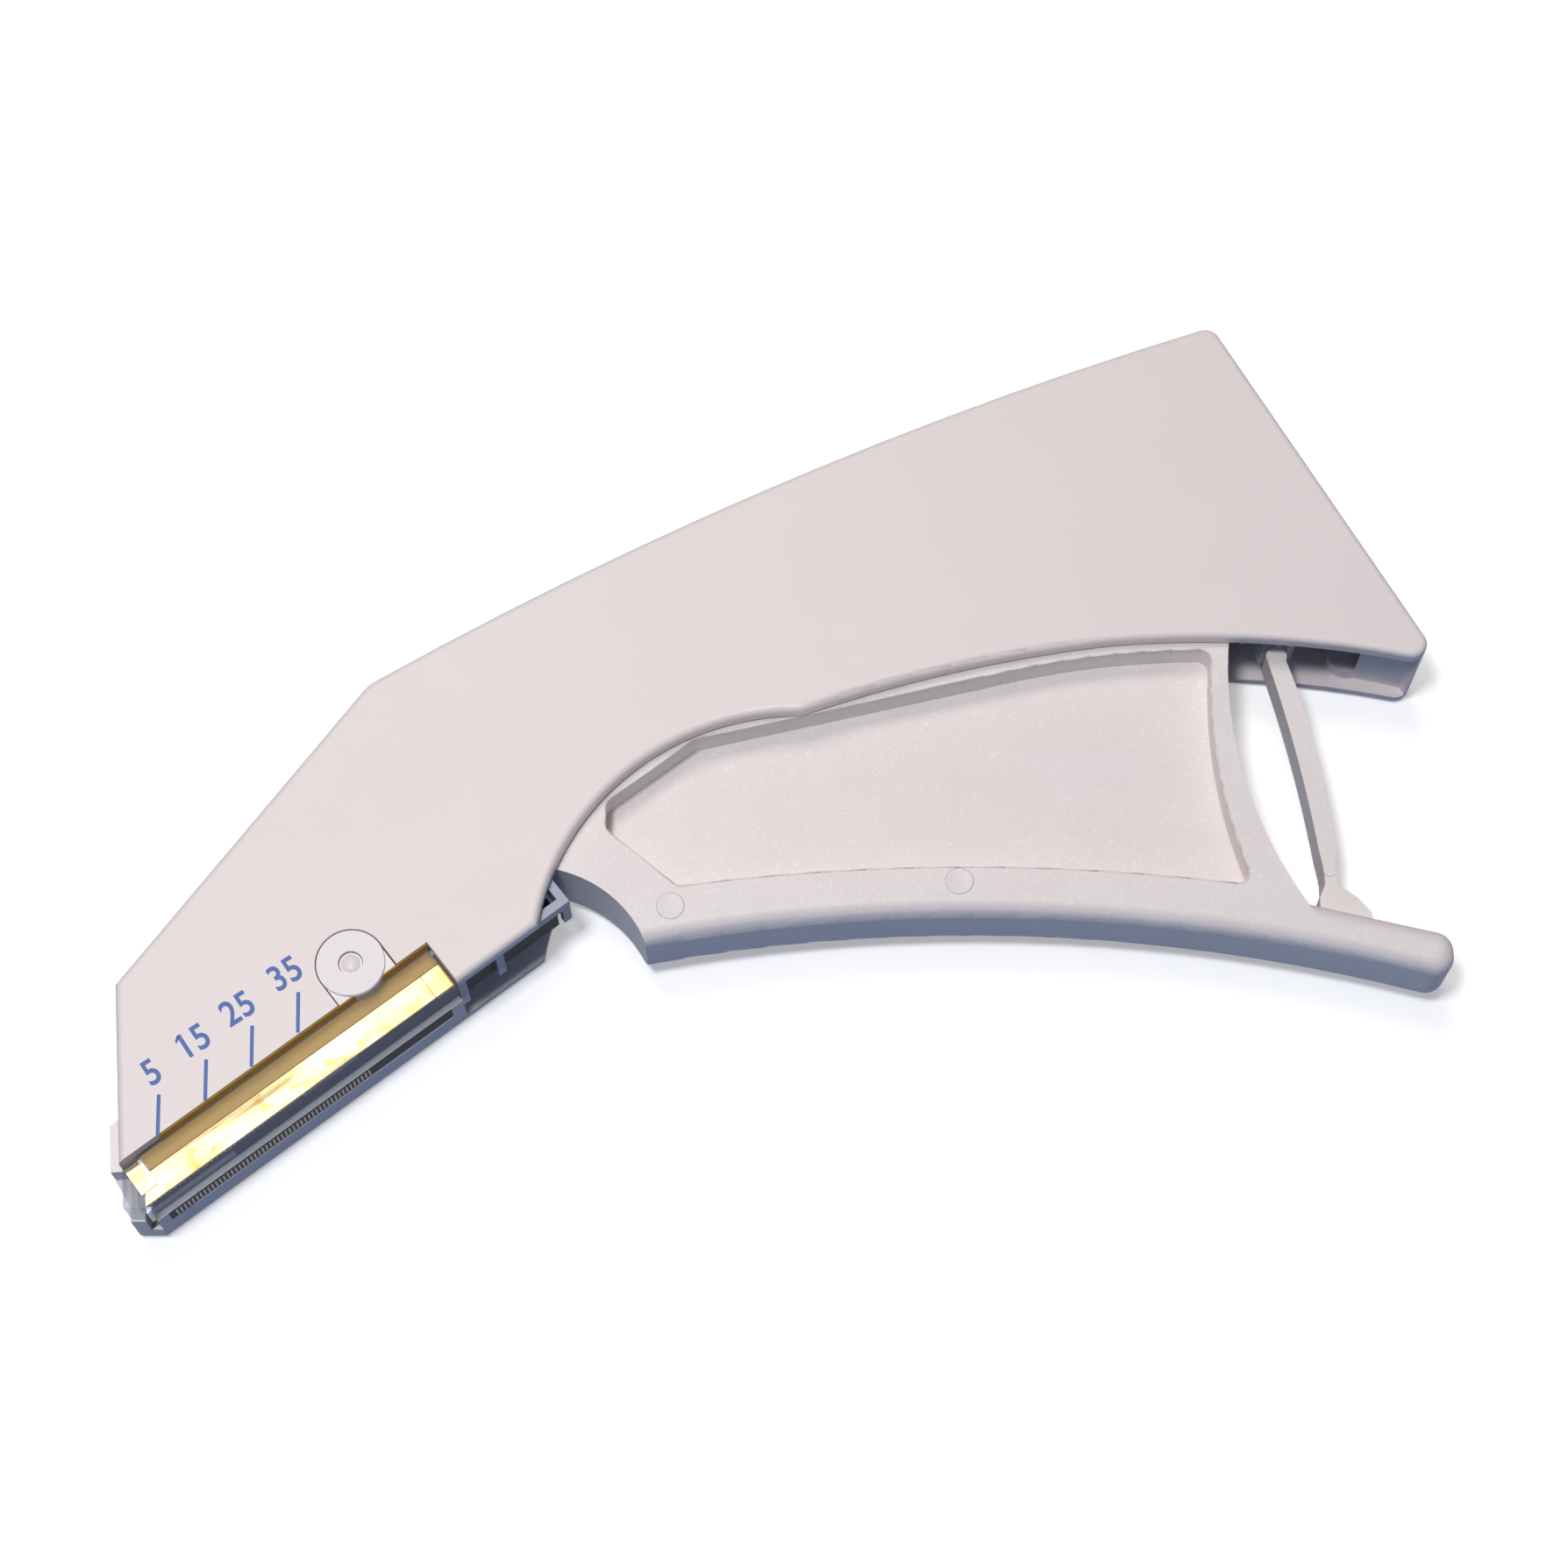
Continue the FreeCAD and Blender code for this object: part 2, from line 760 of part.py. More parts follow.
def near_shell():
    """The shell that shows, with the magazine's window and the keyhole for its ring."""
    room = fuse("near_room", [
        slab("near_cavity", cavity_outline, half, inner_high),
        piece("near_mouth", [MOUTH], half, inner_high),
        piece("near_window", [WINDOW], half, body_width, magazine),
    ])
    walls = cut("near_walls", rounded_block("near", half, body_width, body_width), room)
    solids = [walls]
    solids += [piece("near_pad", [[
        (0, d.pad_low + d.fit_gap * 2),
        (-d.pad_reach, d.pad_low + d.fit_gap * 2),
        *PAD[2:5],
        (d.shell_wall / 2, d.pad_low + d.pad_reach),
    ]], half, half + d.pad_half, drive)]
    solids += [piece("near_posts", [Circle(x, y, d.post_radius)], half, inner_high + d.fit_gap)
               for x, y in POSTS]
    solids += [piece("near_pins", [Circle(x, y, d.post_pin_radius)], half - d.post_pin_length,
                     inner_high) for x, y in POSTS]
    solids += [piece("near_pivot_boss", [Circle(0, 0, d.boss_radius)], inner_high - d.boss_height,
                     inner_high + d.fit_gap)]
    solids += [piece("near_rib", [rib], half, inner_high + d.fit_gap, strut_channel)
               for rib in RIBS]
    solids += [piece("near_rail", [RAIL], inner_high - d.boss_height, inner_high + d.fit_gap,
                     drive)]
    bore = piece("near_pivot_bore", [Circle(0, 0, d.pivot_radius + d.pin_gap)], half,
                 body_width - d.shell_wall / 2)
    shell = cut("near_shell", fuse("near_solid", solids), bore)
    shell.Label = "near_shell"
    return shell


def pin(label, x, y, radius, low, high, bevel):
    """A plain pin standing along Z, with bevelled ends."""
    body = new_body(label)
    pad(body, [Circle(x, y, radius)], low, high)
    dress(body, "Chamfer", bevel, lambda edge: len(edge.Vertexes) == 1)
    return body


# Trigger: a plate recessed on both sides, with a driving arm in front of its pivot
lever_low = inner_low + d.side_gap
lever_high = inner_high - d.side_gap
finger = (d.finger_x, d.finger_y)
lever_tail_low = (d.tail_x, d.tail_under)
lever_tail_high = (d.tail_x, d.tail_over)
LEVER = [
    (d.hub_radius * 0.6, -d.hub_radius * 0.8),
    (d.hub_radius * 0.78, -d.hub_radius * 0.25),
    Arc(d.finger_radius, -1),
    finger,
    Arc(d.grip_radius, -1),
    lever_tail_low,
    lever_tail_high,
    (d.rib_foot_x, d.rib_foot_y),
    Arc(d.rib_radius, -1),
    (d.rib_top_x, d.rib_top_y),
    Arc(d.ridge_radius, 1),
    (d.ridge_x, d.ridge_y),
    (d.shoulder_x, d.shoulder_y),
    (-d.hub_radius * 0.6, d.hub_radius * 0.8),
    Arc(d.hub_radius, 1),
    (-d.hub_radius, 0),
    Arc(d.hub_radius, 1),
    (0, -d.hub_radius),
]
RECESS = [
    (d.recess_nose_x, d.recess_nose_low),
    (d.recess_chin_x, d.recess_chin_y),
    Arc(d.recess_floor_radius, -1),
    (d.recess_heel_x, d.recess_heel_y),
    Arc(d.recess_back_radius, -1),
    (d.recess_top_x, d.recess_top_y),
    Arc(d.recess_roof_radius, 1),
    (d.recess_crest_x, d.recess_crest_y),
    (d.recess_brow_x, d.recess_brow_y),
    (d.recess_nose_x, d.recess_nose_high),
]
ARM = [
    (0, -d.hub_radius * 0.8),
    (d.arm_elbow_x, d.arm_elbow_y),
    (d.arm_x + d.arm_end_radius, d.arm_y - d.arm_end_radius),
    (d.arm_x - d.arm_end_radius, d.arm_y - d.arm_end_radius),
    (d.arm_x - d.arm_end_radius, d.arm_y + d.arm_end_radius),
    (-d.hub_radius * 4, -d.arm_height * 0.4),
    (-d.hub_radius * 2, d.arm_height * 0.4),
    (0, d.hub_radius * 0.8),
]


def trigger():
    """The squeezed lever: grip plate, pivot hub, driving arm and the foot of the strut."""
    body = new_body("trigger")
    pad(body, [LEVER], lever_low, lever_high)
    grip = upright_at([lever_tail_low, lever_tail_high])
    dress(body, "Fillet", d.tail_round, grip)
    reach = d.tail_round.value
    finger_box = FreeCAD.BoundBox(
        d.finger_x.value - reach, d.tail_under.value - reach * 2, lever_low.value,
        d.tail_x.value + reach, d.tail_over.value - reach, lever_high.value
    )

    def under_edge(edge):
        flat = near(edge.BoundBox.ZMin, edge.BoundBox.ZMax)
        return flat and finger_box.isInside(edge.BoundBox.Center)

    dress(body, "Fillet", d.grip_round, under_edge)
    pocket(body, [RECESS], lever_high - d.recess_depth, lever_high)
    pocket(body, [RECESS], lever_low, lever_low + d.recess_depth)
    dress(body, "Fillet", d.recess_round, upright_at([
        (d.recess_nose_x, d.recess_nose_low),
        (d.recess_nose_x, d.recess_nose_high),
        (d.recess_chin_x, d.recess_chin_y),
        (d.recess_heel_x, d.recess_heel_y),
        (d.recess_top_x, d.recess_top_y),
    ]))
    counterbore = [Circle(0, 0, d.boss_radius + d.side_gap)]
    pocket(body, counterbore, lever_low, inner_low + d.boss_height + d.side_gap)
    pocket(body, counterbore, inner_high - d.boss_height - d.side_gap, lever_high)
    pad(body, [ARM], half - d.arm_half, half + d.arm_half)
    arm_corners = [
        (d.arm_x + d.arm_end_radius, d.arm_y - d.arm_end_radius),
        (d.arm_x - d.arm_end_radius, d.arm_y - d.arm_end_radius),
        (d.arm_x - d.arm_end_radius, d.arm_y + d.arm_end_radius),
    ]
    dress(body, "Fillet", d.arm_end_radius * 0.9, upright_at(arm_corners))
    pocket(body, [Circle(0, 0, d.pivot_radius + d.pin_gap)], lever_low, lever_high)
    pocket(body, [Circle(d.arm_x, d.arm_y, d.drive_pin_radius + d.pin_gap / 2)],
           half - d.arm_half, half + d.arm_half)
    waist = d.neck_radius * 0.9
    foot_level = d.rib_foot_y - d.tail_round
    foot = [
        (d.neck_x - waist, d.neck_y),
        (d.neck_x - waist, d.neck_y - d.foot_step_y),
        (d.neck_x - d.foot_back, d.neck_y - d.foot_ramp_y),
        (d.neck_x - d.foot_back, foot_level),
        (d.neck_x + d.foot_toe_x, foot_level),
        (d.neck_x + d.foot_toe_x, d.neck_y - d.foot_toe_y),
        (d.neck_x + d.foot_ramp_x, d.neck_y - d.foot_ramp_y),
        (d.neck_x + d.foot_step_x, d.neck_y - d.foot_step_y),
        (d.neck_x + waist, d.neck_y),
    ]
    pad(body, [foot], half - d.strut_half, half + d.strut_half)
    pocket(body, [Circle(d.neck_x, d.neck_y, d.neck_radius + d.pin_gap)],
           half - d.strut_half, half + d.strut_half)
    return body


# Rear strut: a bowed bar from the trigger's tail to the plunger, with a round at each end
strut_run_x = d.strut_head_x - d.neck_x
strut_run_y = d.strut_head_y - d.neck_y
strut_length = root(strut_run_x * strut_run_x + strut_run_y * strut_run_y)
strut_side_x = strut_run_y / strut_length
strut_side_y = -strut_run_x / strut_length


def beside_strut(along, aside):
    """A point beside the line from the strut's neck to its head."""
    return (
        d.neck_x + strut_run_x / strut_length * along + strut_side_x * aside,
        d.neck_y + strut_run_y / strut_length * along + strut_side_y * aside,
    )


def return_strut():
    """The bowed strut behind the trigger plate."""
    body = new_body("return_strut")
    waist = d.neck_radius * 0.9
    bar = [
        beside_strut(0, -waist),
        beside_strut(0, waist),
        beside_strut(d.strut_width, d.strut_width / 2),
        Arc(d.strut_bow_radius, 1),
        beside_strut(strut_length - d.strut_head_radius * 0.5, d.strut_head_radius * 0.8),
        beside_strut(strut_length - d.strut_head_radius * 0.5, -d.strut_head_radius * 0.95),
        Arc(d.strut_front_radius, -1),
        beside_strut(d.strut_width, -d.strut_width / 4),
    ]
    low = half - d.strut_half
    high = half + d.strut_half
    pad(body, [bar], low, high)
    pad(body, [Circle(d.neck_x, d.neck_y, d.neck_radius)], low, high)
    pad(body, [Circle(d.strut_head_x, d.strut_head_y, d.strut_head_radius)], low, high)
    return body


def spring_plunger():
    """The slide that the strut pushes up between the ribs, with a peg for the spring."""
    body = new_body("spring_plunger", strut_channel)
    centre = (d.plunger_right - d.plunger_left) / 2
    flange_low = plunger_low + d.plunger_stem
    knuckle = d.strut_head_radius
    pad(body, [block(-d.plunger_left, flange_low, d.plunger_right, plunger_high)],
        half - d.plunger_half, half + d.plunger_half)
    pad(body, [block(-knuckle, plunger_low, knuckle, flange_low + d.fit_gap)],
        half - d.strut_half, half + d.strut_half)
    peg = d.spring_radius / 2
    pad(body, [block(centre - peg, plunger_high - d.fit_gap, centre + peg, plunger_high + 2)],
        half - peg, half + peg)
    return body


def coil(label, frame, x, y, along_x, mean_radius, wire, turns, length):
    """A coil spring whose axis starts at a point of a frame and runs along its X or its Y."""
    pitch = (length.value - wire.value) / turns.value
    helix = Part.makeHelix(pitch, length.value - wire.value, mean_radius.value)
    start = FreeCAD.Vector(mean_radius.value, 0, 0)
    section = Part.Wire([Part.makeCircle(wire.value / 2, start, FreeCAD.Vector(0, 1, 0))])
    solid = Part.Wire(helix.Edges).makePipeShell([section], True, True)
    axis = FreeCAD.Vector(1, 0, 0) if along_x else FreeCAD.Vector(0, 1, 0)
    stand = FreeCAD.Rotation(FreeCAD.Vector(0, 0, 1), axis)
    turn = FreeCAD.Rotation(FreeCAD.Vector(0, 0, 1), frame.angle.value)
    origin_x, origin_y = frame.out(x, y)
    origin = FreeCAD.Vector(origin_x.value, origin_y.value, half.value)
    offset = turn.multVec(axis) * (wire.value / 2)
    spring = doc.addObject("Part::Feature", label)
    spring.Label = label
    spring.Shape = solid
    spring.Placement = FreeCAD.Placement(origin + offset, turn * stand)
    return spring


# Driver: a forked blade on a carrier that the arm's pin moves down the nose
carrier_front = blade_back
carrier_half = inner_high - half - d.side_gap - d.fit_gap
pin_rest = drive.into(d.arm_x, d.arm_y)
swing = Frame(0, 0, d.squeeze_angle)
pin_squeezed = drive.into(*swing.out(d.arm_x, d.arm_y))
stroke = pin_rest[1] - pin_squeezed[1]


def former():
    """The steel blade that bends a staple over the anvil."""
    body = new_body("former", drive)
    pad(body, [block(blade_front, d.blade_bottom, blade_back, d.blade_top)],
        half - d.blade_half, half + d.blade_half)
    fork_top = d.anvil_top + stroke + d.fit_gap * 3
    fork_half = d.anvil_half + d.fit_gap * 1.5
    pocket(body, [block(wall_x, d.blade_bottom - 1, throat_back, fork_top)],
           half - fork_half, half + fork_half)
    return body


def driver_carrier():
    """The plastic slide that holds the blade, slotted across for the arm's pin."""
    body = new_body("driver_carrier", drive)
    brow_step = (d.carrier_high - d.blade_top) * 0.9
    pad(body, [[
        (carrier_front, d.carrier_low),
        (carrier_front + d.carrier_web, d.carrier_low),
        (carrier_front + d.carrier_web * 1.5, pin_rest[1] - d.arm_end_radius * 1.6),
        (d.carrier_back, pin_rest[1] - d.arm_end_radius * 1.6),
        (d.carrier_back, d.carrier_high),
        (carrier_front + brow_step, d.carrier_high),
        (carrier_front, d.blade_top),
    ]], half - carrier_half, half + carrier_half)
    arm_room = d.arm_half + d.fit_gap * 1.5
    pocket(body, [block(carrier_front + d.carrier_web, d.carrier_low - 1, d.carrier_back + 1,
                        d.carrier_high + 1)], half - arm_room, half + arm_room)
    slot_half = d.drive_pin_radius + d.fit_gap * 1.5
    pocket(body, [block(pin_rest[0] - slot_half, pin_rest[1] - slot_half,
                        pin_squeezed[0] + slot_half, pin_rest[1] + slot_half)],
           half - carrier_half, half + carrier_half)
    return body


def nose_guide():
    """The block behind the blade that keeps it in its track."""
    body = new_body("nose_guide", drive)
    front = throat_back
    pad(body, [block(front, d.guide_low, front + d.guide_depth, d.guide_high)],
        inner_low + d.fit_gap, inner_high - d.fit_gap)
    dress(body, "Chamfer", d.guide_depth / 4, upright_at([(front, d.guide_high)]))
    return body


def anvil():
    """The steel tongue under the waiting staple, with its shank below the track."""
    body = new_body("anvil", magazine)
    shank_high = d.track_low - d.fit_gap / 2
    shank_low = shank_high - d.anvil_plate
    back = throat_back + d.fit_gap / 2
    tongue = [
        drive_to_magazine(blade_front, d.anvil_top),
        drive_to_magazine(back, d.anvil_top),
        drive_at_height(back, shank_high),
        (d.anvil_length, shank_high),
        (d.anvil_length, shank_low),
        drive_at_height(blade_front + d.blade_thickness * 0.7, shank_low),
        drive_to_magazine(blade_front, d.anvil_top - d.anvil_depth),
    ]
    pad(body, [tongue], half - d.anvil_half, half + d.anvil_half)
    return body


# Magazine: a gold channel over the staples, a track inside them, a base, a cover and a follower
stack_front = drive_at_height(throat_back + d.fit_gap / 2, d.crown_height)


def staple_channel():
    """The gold channel that covers the stack of staples."""
    body = new_body("staple_channel", magazine)
    low = d.keel_wall + d.fit_gap / 2
    front = throat_back + d.fit_gap
    pad(body, [[
        drive_at_height(front, low),
        (channel_end, low),
        (channel_end, d.channel_top),
        drive_at_height(front, d.channel_top),
    ]], half - d.channel_half, half + d.channel_half)
    inside = d.channel_half - d.channel_wall
    pocket(body, [block(-channel_end, -1, channel_end + 1, d.channel_top - d.channel_wall)],
           half - inside, half + inside)
    return body


def channel_bracket():
    """The gold bracket that ties the channel's end to the base."""
    body = new_body("channel_bracket", magazine)
    low = d.keel_wall + d.fit_gap / 2
    start = channel_end + d.fit_gap
    end = d.window_length - d.fit_gap * 1.5
    pad(body, [block(start, low, end, d.channel_top)],
        half - d.channel_half, half + d.channel_half)
    inside = d.channel_half - d.channel_wall * 1.6
    pocket(body, [block(start - 1, -1, end + 1, d.channel_top - d.channel_wall * 0.8)],
           half - inside, half + inside)
    return body


def staple_track():
    """The channel that the staples straddle, open upwards for the feed spring."""
    body = new_body("staple_track", magazine)
    front = throat_back + d.fit_gap
    pad(body, [[
        drive_at_height(front, d.track_low),
        (track_end, d.track_low),
        (track_end, d.track_high),
        drive_at_height(front, d.track_high),
    ]], half - d.track_half, half + d.track_half)
    web = drive_at_height(front, d.track_high)[0] + d.track_wall
    inside = d.track_half - d.track_wall
    pocket(body, [block(web + d.track_wall, d.track_low + d.track_wall, track_end + 1,
                        d.track_high + 1)], half - inside, half + inside)
    return body


def feed_rod():
    """The rod that keeps the feed spring straight."""
    body = new_body("feed_rod", magazine)
    start = drive_at_height(throat_back, d.track_high)[0] + d.track_wall * 2 + d.fit_gap * 2
    sketch = body_sketch(body, [Circle(d.rod_height, half, d.rod_radius)], start, "YZ_Plane")
    feature = body.newObject("PartDesign::Pad", "pad")
    feature.Profile = sketch
    bind(feature, "Length", track_end - d.fit_gap - start)
    doc.recompute()
    return body


last_front = stack_front[0] + d.staple_pitch * (d.staple_count - 1)
stack_back = last_front + d.wire / cosine(lean) + d.fit_gap / 2
follower_low = d.track_low - d.fit_gap * 3
follower_slope = sine(lean) / cosine(lean)
follower_back = stack_back + d.follower_length
plug_start = track_end - d.plug_length
feed_spring_length = plug_start - follower_back - d.fit_gap * 2


def follower():
    """The saddle that pushes the stack to the nose."""
    body = new_body("follower", magazine)
    side = d.crown_width / 2
    drop = d.crown_height - follower_low
    pad(body, [[
        (stack_back - drop * follower_slope, follower_low),
        (follower_back, follower_low),
        (follower_back, d.crown_height),
        (stack_back, d.crown_height),
    ]], half - side, half + side)
    saddle = d.track_half + d.fit_gap
    pocket(body, [block(-track_end, -1, track_end, d.track_high + d.fit_gap)],
           half - saddle, half + saddle)
    tab = d.track_half - d.track_wall - d.fit_gap
    pad(body, [block(follower_back - d.follower_length * 0.4, d.track_low + d.track_wall + d.fit_gap,
                     follower_back, d.track_high + d.fit_gap * 2)], half - tab, half + tab)
    bore_along(body, d.rod_height, half, d.rod_radius + d.fit_gap)
    return body


def end_plug():
    """The plug at the track's end that the feed spring pushes against."""
    body = new_body("end_plug", magazine)
    inside = d.track_half - d.track_wall - d.fit_gap / 2
    pad(body, [block(plug_start, d.track_low + d.track_wall + d.fit_gap / 2, track_end,
                     d.track_high)], half - inside, half + inside)
    bore_along(body, d.rod_height, half, d.rod_radius + d.pin_gap)
    return body


def magazine_base():
    """The white base: a roof over the channel, the block at its end and the ring's ear."""
    body = new_body("magazine_base", magazine)
    roof_low = d.channel_top + d.fit_gap
    roof_high = roof_low + d.roof_thickness
    roof_front = drive_at_height(throat_back + d.shell_wall, roof_high)[0]
    block_front = d.window_length + d.fit_gap * 1.5
    roof_half = d.channel_half
    block_half = inner_high - half - d.fit_gap
    block_low = d.keel_wall - d.fit_gap * 2
    wall = d.block_wall
    near_side = half + block_half
    rail_side = near_side - d.block_rail
    rail = [block(block_front, block_low, block_end, block_low + wall)]
    cross_web = [block(block_front + d.block_step, block_low, block_front + d.block_step + wall,
                       d.track_low - d.fit_gap)]
    deck = [block(block_front, d.block_top - wall, block_end, d.block_top)]
    end_wall = [block(block_end - wall, block_low, block_end, d.block_top)]
    front_wall = [block(block_front, block_low, block_front + wall, d.block_top)]
    pad(body, deck, half - block_half, rail_side)
    pad(body, end_wall, half - d.channel_wall, near_side)
    pad(body, front_wall, half - d.track_half - wall, near_side)
    pad(body, rail, rail_side, near_side)
    pad(body, cross_web, half - d.track_half, near_side)
    pad(body, [[
        (roof_front, roof_low),
        (block_front, roof_low),
        (block_front, d.block_top - wall),
        (block_front + wall, d.block_top - wall),
        (block_front + wall, roof_high),
        (roof_front, roof_high),
    ]], half - roof_half, half + roof_half)
    ear_low = roof_high - d.fit_gap
    ear = [
        (d.ring_x - d.ring_radius, ear_low),
        (d.ring_x + d.ring_radius, ear_low),
        (d.ring_x + d.ring_radius, d.ring_y),
        Arc(d.ring_radius, 1),
        (d.ring_x, d.ring_y + d.ring_radius),
        Arc(d.ring_radius, 1),
        (d.ring_x - d.ring_radius, d.ring_y),
    ]
    raised = d.window_height + d.fit_gap / 2
    lifted = [(d.ring_x - d.ring_radius, raised), (d.ring_x + d.ring_radius, raised), *ear[2:]]
    pad(body, [ear], half + roof_half - d.roof_thickness, half + roof_half)
    pad(body, [lifted], half + roof_half - d.roof_thickness, body_width - d.ring_step)
    pad(body, [Circle(d.ring_x, d.ring_y, d.ring_radius)], half + roof_half, body_width)
    slot = d.track_half + d.fit_gap / 2
    pocket(body, [block(block_front - 1, d.track_low - d.fit_gap / 2, block_end + 1,
                        d.track_high + d.fit_gap / 2)], half - slot, half + slot)
    pocket(body, [Circle(d.ring_x, d.ring_y, d.ring_pin_radius + d.fit_gap)],
           half, body_width)
    return body


def magazine_cover():
    """The clear cover of the window, wrapped round the nose and under the keel."""
    body = new_body("magazine_cover", magazine)
    skin = d.fit_gap * 2
    top = d.window_height - d.fit_gap * 1.5
    end = d.window_length - d.fit_gap * 1.5
    face = body_width - d.cover_recess
    rim_low = half + d.fit_gap
    outline = [
        drive_to_magazine(skin, skin),
        (skin, skin / 2),
        (end, skin / 2),
        (end, top),
        drive_at_height(skin, top),
    ]
    pad(body, [outline], rim_low, face)
    dress(body, "Chamfer", d.cover_bevel, level_at(face))
    pocket(body, [[
        drive_at_height(wall_x, d.keel_wall),
        (end + 1, d.keel_wall),
        (end + 1, top + 1),
        drive_at_height(wall_x, top + 1),
    ]], rim_low, face - d.cover_wall)
    pocket(body, [Circle(d.ring_x, d.ring_y, keyhole_radius)], rim_low, face)
    exit_back = throat_back + d.wire + d.fit_gap
    pocket(body, [[
        drive_to_magazine(wall_x, -d.shell_wall),
        drive_to_magazine(exit_back, -d.shell_wall),
        drive_to_magazine(exit_back, d.shell_wall),
        drive_to_magazine(wall_x, d.shell_wall),
    ]], rim_low, half + exit_half)
    return body


def staple():
    """One open staple, its crown along Z and its legs along the drive, in the magazine frame."""
    side = d.crown_width.value / 2
    thick = d.wire.value
    points = [
        (-side, 0), (side, 0), (side, -d.leg_length.value + thick), (side - thick, -d.leg_length.value),
        (side - thick, -thick), (-side + thick, -thick), (-side + thick, -d.leg_length.value),
        (-side, -d.leg_length.value + thick),
    ]
    corners = [FreeCAD.Vector(0, y, z) for z, y in points]
    face = Part.Face(Part.makePolygon(corners + corners[:1]))
    solid = face.extrude(FreeCAD.Vector(thick, 0, 0))
    solid.rotate(FreeCAD.Vector(0, 0, 0), FreeCAD.Vector(0, 0, 1), -lean.value)
    return solid


def staples():
    """The stack of staples that waits in the channel."""
    one = staple()
    stack = []
    for number in range(int(d.staple_count.value)):
        copy = one.copy()
        along = stack_front[0].value + number * d.staple_pitch.value
        copy.translate(FreeCAD.Vector(along, d.crown_height.value, 0))
        stack.append(copy)
    feature = doc.addObject("Part::Feature", "staples")
    feature.Label = "staples"
    feature.Shape = Part.makeCompound(stack)
    turn = FreeCAD.Rotation(FreeCAD.Vector(0, 0, 1), magazine.angle.value)
    place = FreeCAD.Vector(magazine.x.value, magazine.y.value, half.value)
    feature.Placement = FreeCAD.Placement(place, turn)
    return feature


nodes = [
    far_shell(),
    near_shell(),
    pin("pivot_pin", zero, zero, d.pivot_radius, d.shell_wall / 2 + d.fit_gap,
        body_width - d.shell_wall / 2 - d.fit_gap, d.pivot_radius / 6),
    trigger(),
    pin("drive_pin", d.arm_x, d.arm_y, d.drive_pin_radius, half - carrier_half + d.fit_gap * 2,
        half + carrier_half - d.fit_gap * 2, d.drive_pin_radius / 5),
    return_strut(),
    spring_plunger(),
    coil("return_spring", strut_channel, (d.plunger_right - d.plunger_left) / 2, spring_low, False,
         d.spring_radius, d.spring_wire, d.spring_turns, d.spring_length),
    former(),
    driver_carrier(),
    nose_guide(),
    anvil(),
    staple_channel(),
    channel_bracket(),
    staple_track(),
    feed_rod(),
    follower(),
    coil("feed_spring", magazine, follower_back + d.fit_gap, d.rod_height, True,
         d.feed_spring_radius, d.feed_spring_wire, d.feed_spring_turns, feed_spring_length),
    end_plug(),
    magazine_base(),
    magazine_cover(),
    staples(),
]
doc.recompute()

for thing in doc.Objects:
    if "Invalid" in thing.State or "Error" in thing.State:
        raise RuntimeError(f"{thing.Label} is {thing.State}")
for node in nodes:
    if node.Shape.isNull() or not node.Shape.isValid() or not node.Shape.Solids:
        raise RuntimeError(f"{node.Label} has no valid solid")

os.makedirs("parts", exist_ok=True)
for node in nodes:
    node.Shape.exportStep(f"parts/{node.Label}.step")
    box = node.Shape.BoundBox
    print(node.Label, len(node.Shape.Solids), round(node.Shape.Volume, 1),
          [round(v, 1) for v in (box.XMin, box.YMin, box.ZMin, box.XMax, box.YMax, box.ZMax)])
print("stroke", round(stroke.value, 3), "drive ratio", stroke.value / math.radians(d.squeeze_angle.value))
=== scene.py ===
# %% [markdown]
# A disposable skin stapler lies on its side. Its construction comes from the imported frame: two
# housing shells, a trigger, a magazine with a clear cover, and what moves inside. This file gives
# every surface its finish and adds the pieces that only show: printed marks, springs, moulding
# marks and the thin parts seen through the clear cover. It is read from top to bottom, one step
# at a time.

# %% Load the frame
import math

import bmesh
import bpy
from mathutils import Matrix, Vector


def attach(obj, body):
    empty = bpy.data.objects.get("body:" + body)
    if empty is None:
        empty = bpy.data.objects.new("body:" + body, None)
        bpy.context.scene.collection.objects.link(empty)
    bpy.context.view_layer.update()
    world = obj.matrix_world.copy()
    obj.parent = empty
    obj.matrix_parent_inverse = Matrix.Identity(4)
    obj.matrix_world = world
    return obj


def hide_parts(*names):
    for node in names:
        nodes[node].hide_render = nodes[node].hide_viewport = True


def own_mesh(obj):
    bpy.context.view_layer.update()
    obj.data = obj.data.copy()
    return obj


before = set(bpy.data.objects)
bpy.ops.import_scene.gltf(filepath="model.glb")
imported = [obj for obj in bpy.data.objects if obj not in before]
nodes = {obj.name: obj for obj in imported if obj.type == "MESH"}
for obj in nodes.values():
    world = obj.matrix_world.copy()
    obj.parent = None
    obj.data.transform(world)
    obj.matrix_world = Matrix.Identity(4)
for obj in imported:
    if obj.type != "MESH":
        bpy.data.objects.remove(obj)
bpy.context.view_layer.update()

# %% [markdown]
# The magazine slants at 38 degrees, and the return spring's channel leans by 16 degrees. Two small
# frames hold those directions, so that later steps can speak of "so far along the magazine"
# instead of working each point out. Sizes are in millimetres and become metres at the end.

# %% Units and slanted frames
MM = 0.001
BODY_WIDTH = 14.8
MAGAZINE_ANGLE = 38.0
CHANNEL_ANGLE = 16.0


class Slant:
    """A frame that lies in the side plane, turned about Z."""

    def __init__(self, x, y, degrees):
        self.origin = Vector((x, y, 0))
        self.turn = Matrix.Rotation(math.radians(degrees), 3, "Z")

    def at(self, x, y, z=0.0):
        """The point in metres of a place in millimetres."""
        return (self.origin + self.turn @ Vector((x, y, z))) * MM


